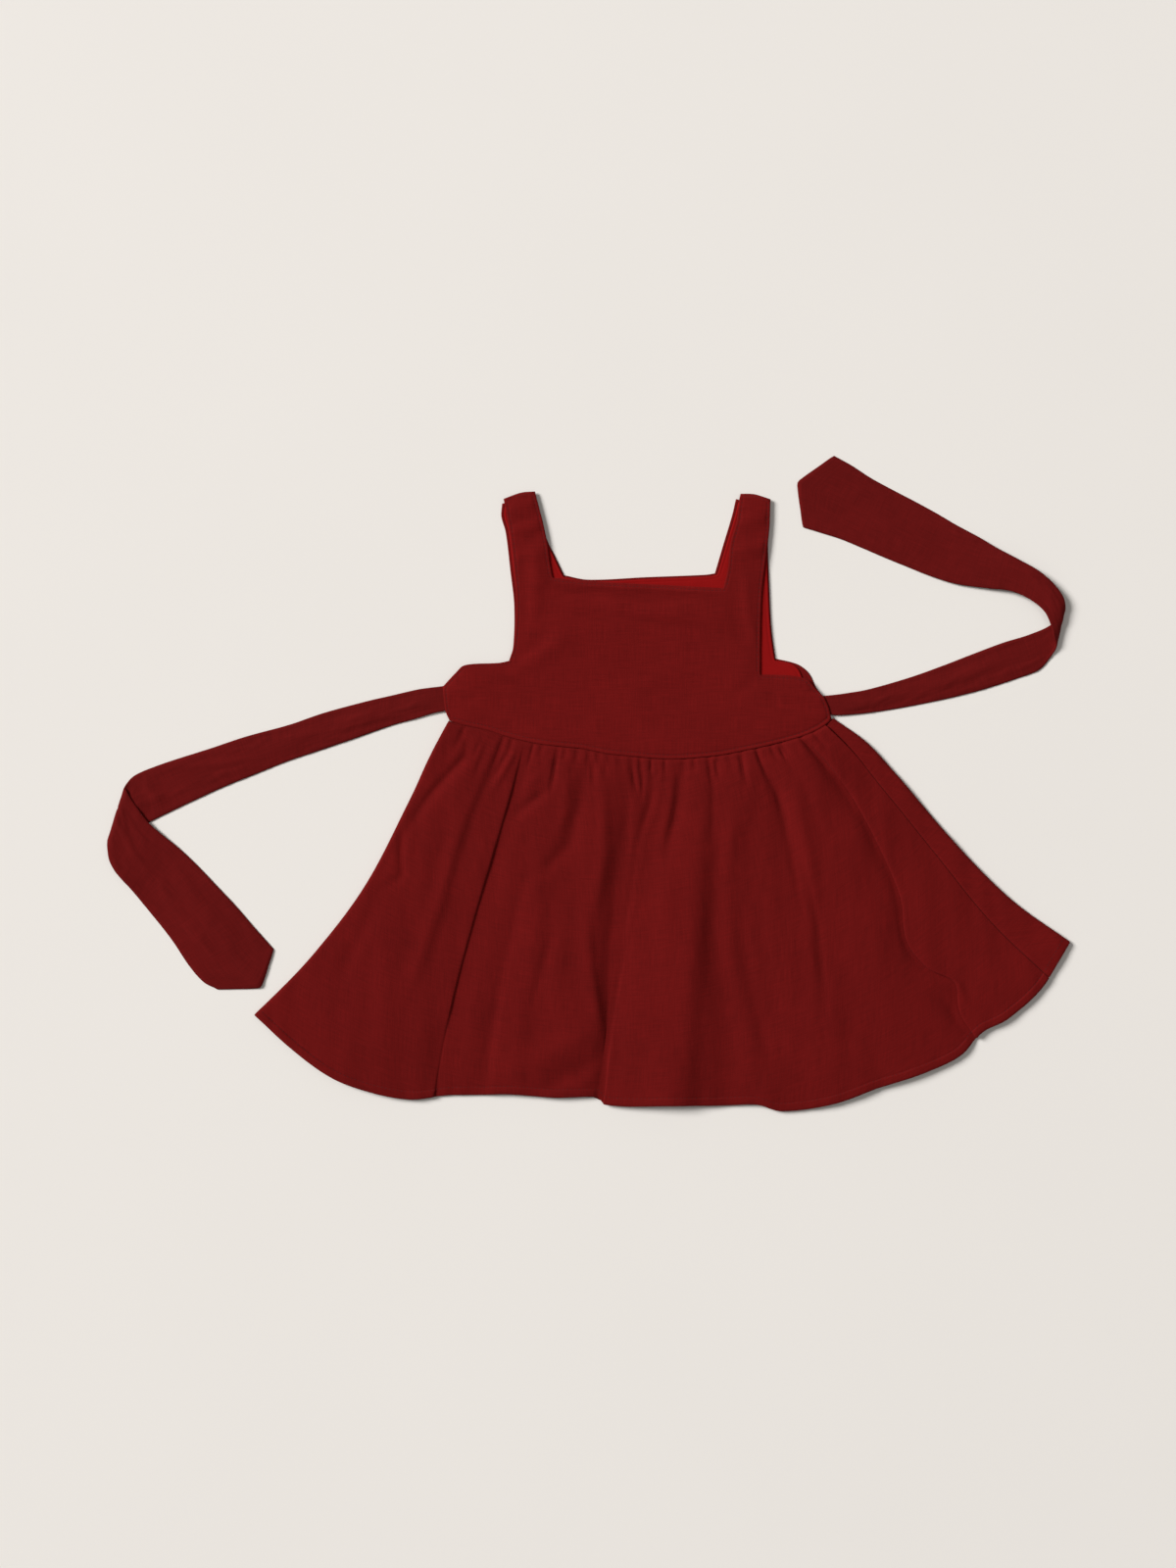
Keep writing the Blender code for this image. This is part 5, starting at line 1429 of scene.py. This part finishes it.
def weave_group():
    """Plain weave from cloth lengths: slubs, faint uneven dye, painted shade and highlight on threads."""
    sizes = [(label, "Float") for label in ("Threads per Metre", "Slub", "Unevenness")]
    takes = [("Cloth Place", "Vector"), *sizes, ("Cloth Colour", "Color")]
    gives = [("Color", "Color"), ("Height", "Float"), ("Roughness", "Float")]
    tree, given, result = new_group("plain weave", "ShaderNodeTree", takes, gives)
    cloth = given["Cloth Place"]

    def patches(place, scale, detail):
        return add_node(tree, "ShaderNodeTexNoise", {"Vector": place, "Scale": scale, "Detail": detail})

    wander = patches(cloth, WANDER, 1.0).outputs["Color"]
    reach = (WANDER_REACH, WANDER_REACH, 0.0)
    wandered = vector_maths(tree, "MULTIPLY_ADD", {0: wander, 1: reach, 2: cloth})
    parts = add_node(tree, "ShaderNodeSeparateXYZ", {"Vector": wandered})
    per_metre = maths(tree, "MULTIPLY", given["Threads per Metre"], math.pi)
    waves = [maths(tree, "SINE", maths(tree, "MULTIPLY", parts.outputs[axis], per_metre)) for axis in "XY"]
    crowns = maths(tree, "ABSOLUTE", maths(tree, "MULTIPLY", *waves))

    def threads(across, along):
        """Slubs: thick places that run along one set of threads."""
        scaled = add_node(tree, "ShaderNodeMapping", {"Vector": cloth, "Scale": (across, along, 1.0)})
        return patches(scaled.outputs["Vector"], 1.0, 2.0).outputs["Fac"]

    slubs = maths(tree, "ADD", threads(SLUB_ACROSS, SLUB_ALONG), threads(SLUB_ALONG, SLUB_ACROSS))
    slubs = maths(tree, "MULTIPLY", maths(tree, "SUBTRACT", slubs, 1.0), given["Slub"])
    clouds = maths(tree, "SUBTRACT", patches(cloth, CLOUDS, 4.0).outputs["Fac"], 0.5)
    dye = maths(tree, "MULTIPLY", clouds, given["Unevenness"])
    # painted light on the weave: a painted shade between the threads and a painted highlight on their crowns
    tone_with_painted_light = maths(tree, "ADD", maths(tree, "ADD", slubs, dye), GAP_PAINTED_SHADE)
    tone_with_painted_light = maths(tree, "ADD", tone_with_painted_light, maths(tree, "MULTIPLY", crowns, CROWN_PAINTED_HIGHLIGHT))
    colour = vector_maths(tree, "SCALE", {0: given["Cloth Colour"], "Scale": tone_with_painted_light})
    height = maths(tree, "ADD", crowns, maths(tree, "MULTIPLY", slubs, SLUB_HEIGHT))
    rough = maths(tree, "SUBTRACT", ROUGH, maths(tree, "MULTIPLY", crowns, CROWN_SMOOTH))
    set_inputs(tree, result, {"Color": colour, "Height": height, "Roughness": rough})
    return tree


def cloth_material(weave, name, colour, threads, slub, unevenness, depth, sheen):
    """Matt woven cotton."""
    material, tree, shader = new_material(name)
    lengths = tree.nodes.new("ShaderNodeUVMap")
    lengths.uv_map = "cloth"
    group = tree.nodes.new("ShaderNodeGroup")
    group.node_tree = weave
    woven = {
        "Cloth Place": lengths.outputs["UV"],
        "Threads per Metre": threads,
        "Slub": slub,
        "Unevenness": unevenness,
        "Cloth Colour": linear(colour),
    }
    set_inputs(tree, group, woven)
    relief = {"Strength": 0.6, "Distance": depth, "Height": group.outputs["Height"]}
    bump = add_node(tree, "ShaderNodeBump", relief)
    finish = {
        "Base Color": group.outputs["Color"],
        "Roughness": group.outputs["Roughness"],
        "Normal": bump.outputs["Normal"],
        "Specular IOR Level": 0.06,
        "Sheen Weight": sheen,
        "Sheen Roughness": 0.45,
        "Sheen Tint": SHEEN_TINT,
    }
    set_inputs(tree, shader, finish)
    return material


def varied_colour(tree, pattern, colour, scale, dark):
    """A colour that a pattern on the object's own coordinates darkens to a share of it."""
    place = add_node(tree, "ShaderNodeTexCoord")
    set_inputs(tree, pattern, {"Vector": place.outputs["Object"], "Scale": scale})
    mix = tree.nodes.new("ShaderNodeMix")
    mix.data_type = "RGBA"
    darker = linear([value * dark for value in colour])
    set_inputs(tree, mix, {"A": linear(colour), "B": darker, "Factor": pattern.outputs["Fac"]})
    return mix.outputs["Result"]


def thread_material(colour):
    """Twisted sewing thread, with painted shade in diagonal bands along the grooves of its twist."""
    material, tree, shader = new_material("sewing thread")
    twist = tree.nodes.new("ShaderNodeTexWave")
    twist.bands_direction = "DIAGONAL"
    # diagonal bands darkened to 0.8 of the colour: painted shade in the grooves of the thread's twist
    twist_painted_shade = varied_colour(tree, twist, colour, scale=900.0, dark=0.8)
    set_inputs(tree, shader, {"Base Color": twist_painted_shade, "Roughness": 0.7, "Specular IOR Level": 0.25})
    return material


def floor_material(colour):
    """A smooth pale floor with the faintest grain."""
    material, tree, shader = new_material("pale floor")
    grain = tree.nodes.new("ShaderNodeTexNoise")
    grained = varied_colour(tree, grain, colour, scale=5.0, dark=0.99)
    set_inputs(tree, shader, {"Base Color": grained, "Roughness": 0.9, "Specular IOR Level": 0.1})
    return material


# The stage


def set_stage():
    """The floor, the lights and the camera."""
    mesh = bpy.data.meshes.new("floor")
    corners = [(x * FLOOR_HALF, y * FLOOR_HALF, 0) for x, y in ((-1, -1), (1, -1), (1, 1), (-1, 1))]
    mesh.from_pydata(corners, [], [(0, 1, 2, 3)])
    mesh.materials.append(floor_material(FLOOR_PALE))
    floor = add_object("floor", mesh)
    for name, place, size, power in LIGHTS:
        data = bpy.data.lights.new(name, "AREA")
        data.shape = "DISK"
        data.size = size
        data.energy = power
        light = add_object(name, data)
        light.location = place
        light.rotation_euler = (-Vector(place)).to_track_quat("-Z", "Y").to_euler()
        light.visible_camera = False
    world = bpy.data.worlds.new("soft studio")
    world.use_nodes = True
    soft = {"Color": ROOM_COLOUR, "Strength": ROOM_LIGHT}
    set_inputs(world.node_tree, world.node_tree.nodes["Background"], soft)
    bpy.context.scene.world = world
    lens = bpy.data.cameras.new("above")
    lens.lens, lens.sensor_width = LENS, SENSOR
    lens.clip_start, lens.clip_end = NEAR, FAR
    camera = add_object("above", lens)
    camera.location = (-CENTRE_X * MM, -CENTRE_Y * MM, PICTURE_HIGH * LENS / SENSOR)
    bpy.context.scene.camera = camera
    bpy.context.scene.view_settings.view_transform = "Standard"


def main():
    set_stage()
    weave = weave_group()
    bodice, skirt, ribbon, lining = (cloth_material(weave, *row) for row in CLOTHS)
    thread = thread_material(THREAD_RED)

    back_bodice, back_lining = make_bodice_back(bodice, lining)
    front_bodice = make_bodice_front(bodice)
    back_skirt = make_skirt_back(skirt)
    front_skirt = make_skirt_front(skirt)
    left_tie = make_tie("left_tie_cloth", LEFT_TIE, ribbon, LEFT_SEED, TIP_LEAN, folded=True)
    right_tie = make_tie("right_tie_cloth", RIGHT_TIE, ribbon, RIGHT_SEED)

    tree = stitch_tree(thread)
    waist_places = ring_places(waist_radius, STITCH_INSET, WAIST_STITCHED, WAIST_PLACES)
    front_hem_places = ring_places(hem_radius, HEM_STITCH, FRONT_HEM_STITCHED, HEM_PLACES)
    back_hem_places = ring_places(hem_radius, HEM_STITCH, BACK_HEM_STITCHED, HEM_PLACES)
    rows = (
        ("waist_stitches", front_bodice, waist_places),
        ("edge_stitches", front_bodice, edge_places(EDGE_GROOVE)),
        ("front_hem_stitches", front_skirt, front_hem_places),
        ("back_hem_stitches", back_skirt, back_hem_places),
    )
    stitches = [make_stitches(name, on_cloth(cloth, places), tree) for name, cloth, places in rows]
    waist, edges, front_hem, back_hem = stitches

    # piece, node, slot, flat width and length, flat area, what it rests on, pieces on it
    sheets = (
        (back_bodice, "bodice_back", "bodice_cloth", (0.28, 0.19), 0.0335, ["floor"], []),
        (back_lining, "bodice_back_lining", "lining_cloth", (0.28, 0.19), 0.03, [back_bodice], []),
        (front_bodice, "bodice_front", "bodice_cloth", (0.28, 0.192), 0.0335, [back_lining], [waist, edges]),
        (back_skirt, "skirt_back", "skirt_cloth", (0.64, 0.275), 0.13, ["floor"], [back_hem]),
        (front_skirt, "skirt_front", "skirt_cloth", (0.64, 0.275), 0.131, [back_skirt], [front_hem]),
        (left_tie, "tie_left", "tie_cloth", (0.052, 0.425), 0.015, ["floor"], []),
        (right_tie, "tie_right", "tie_cloth", (0.055, 0.415), 0.0145, ["floor"], []),
    )
    for piece, node, slot, flat, area, under, pieces in sheets:
        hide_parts(node)
        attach(piece, "root")
        for extra in pieces:
            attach(extra, "root")


main()
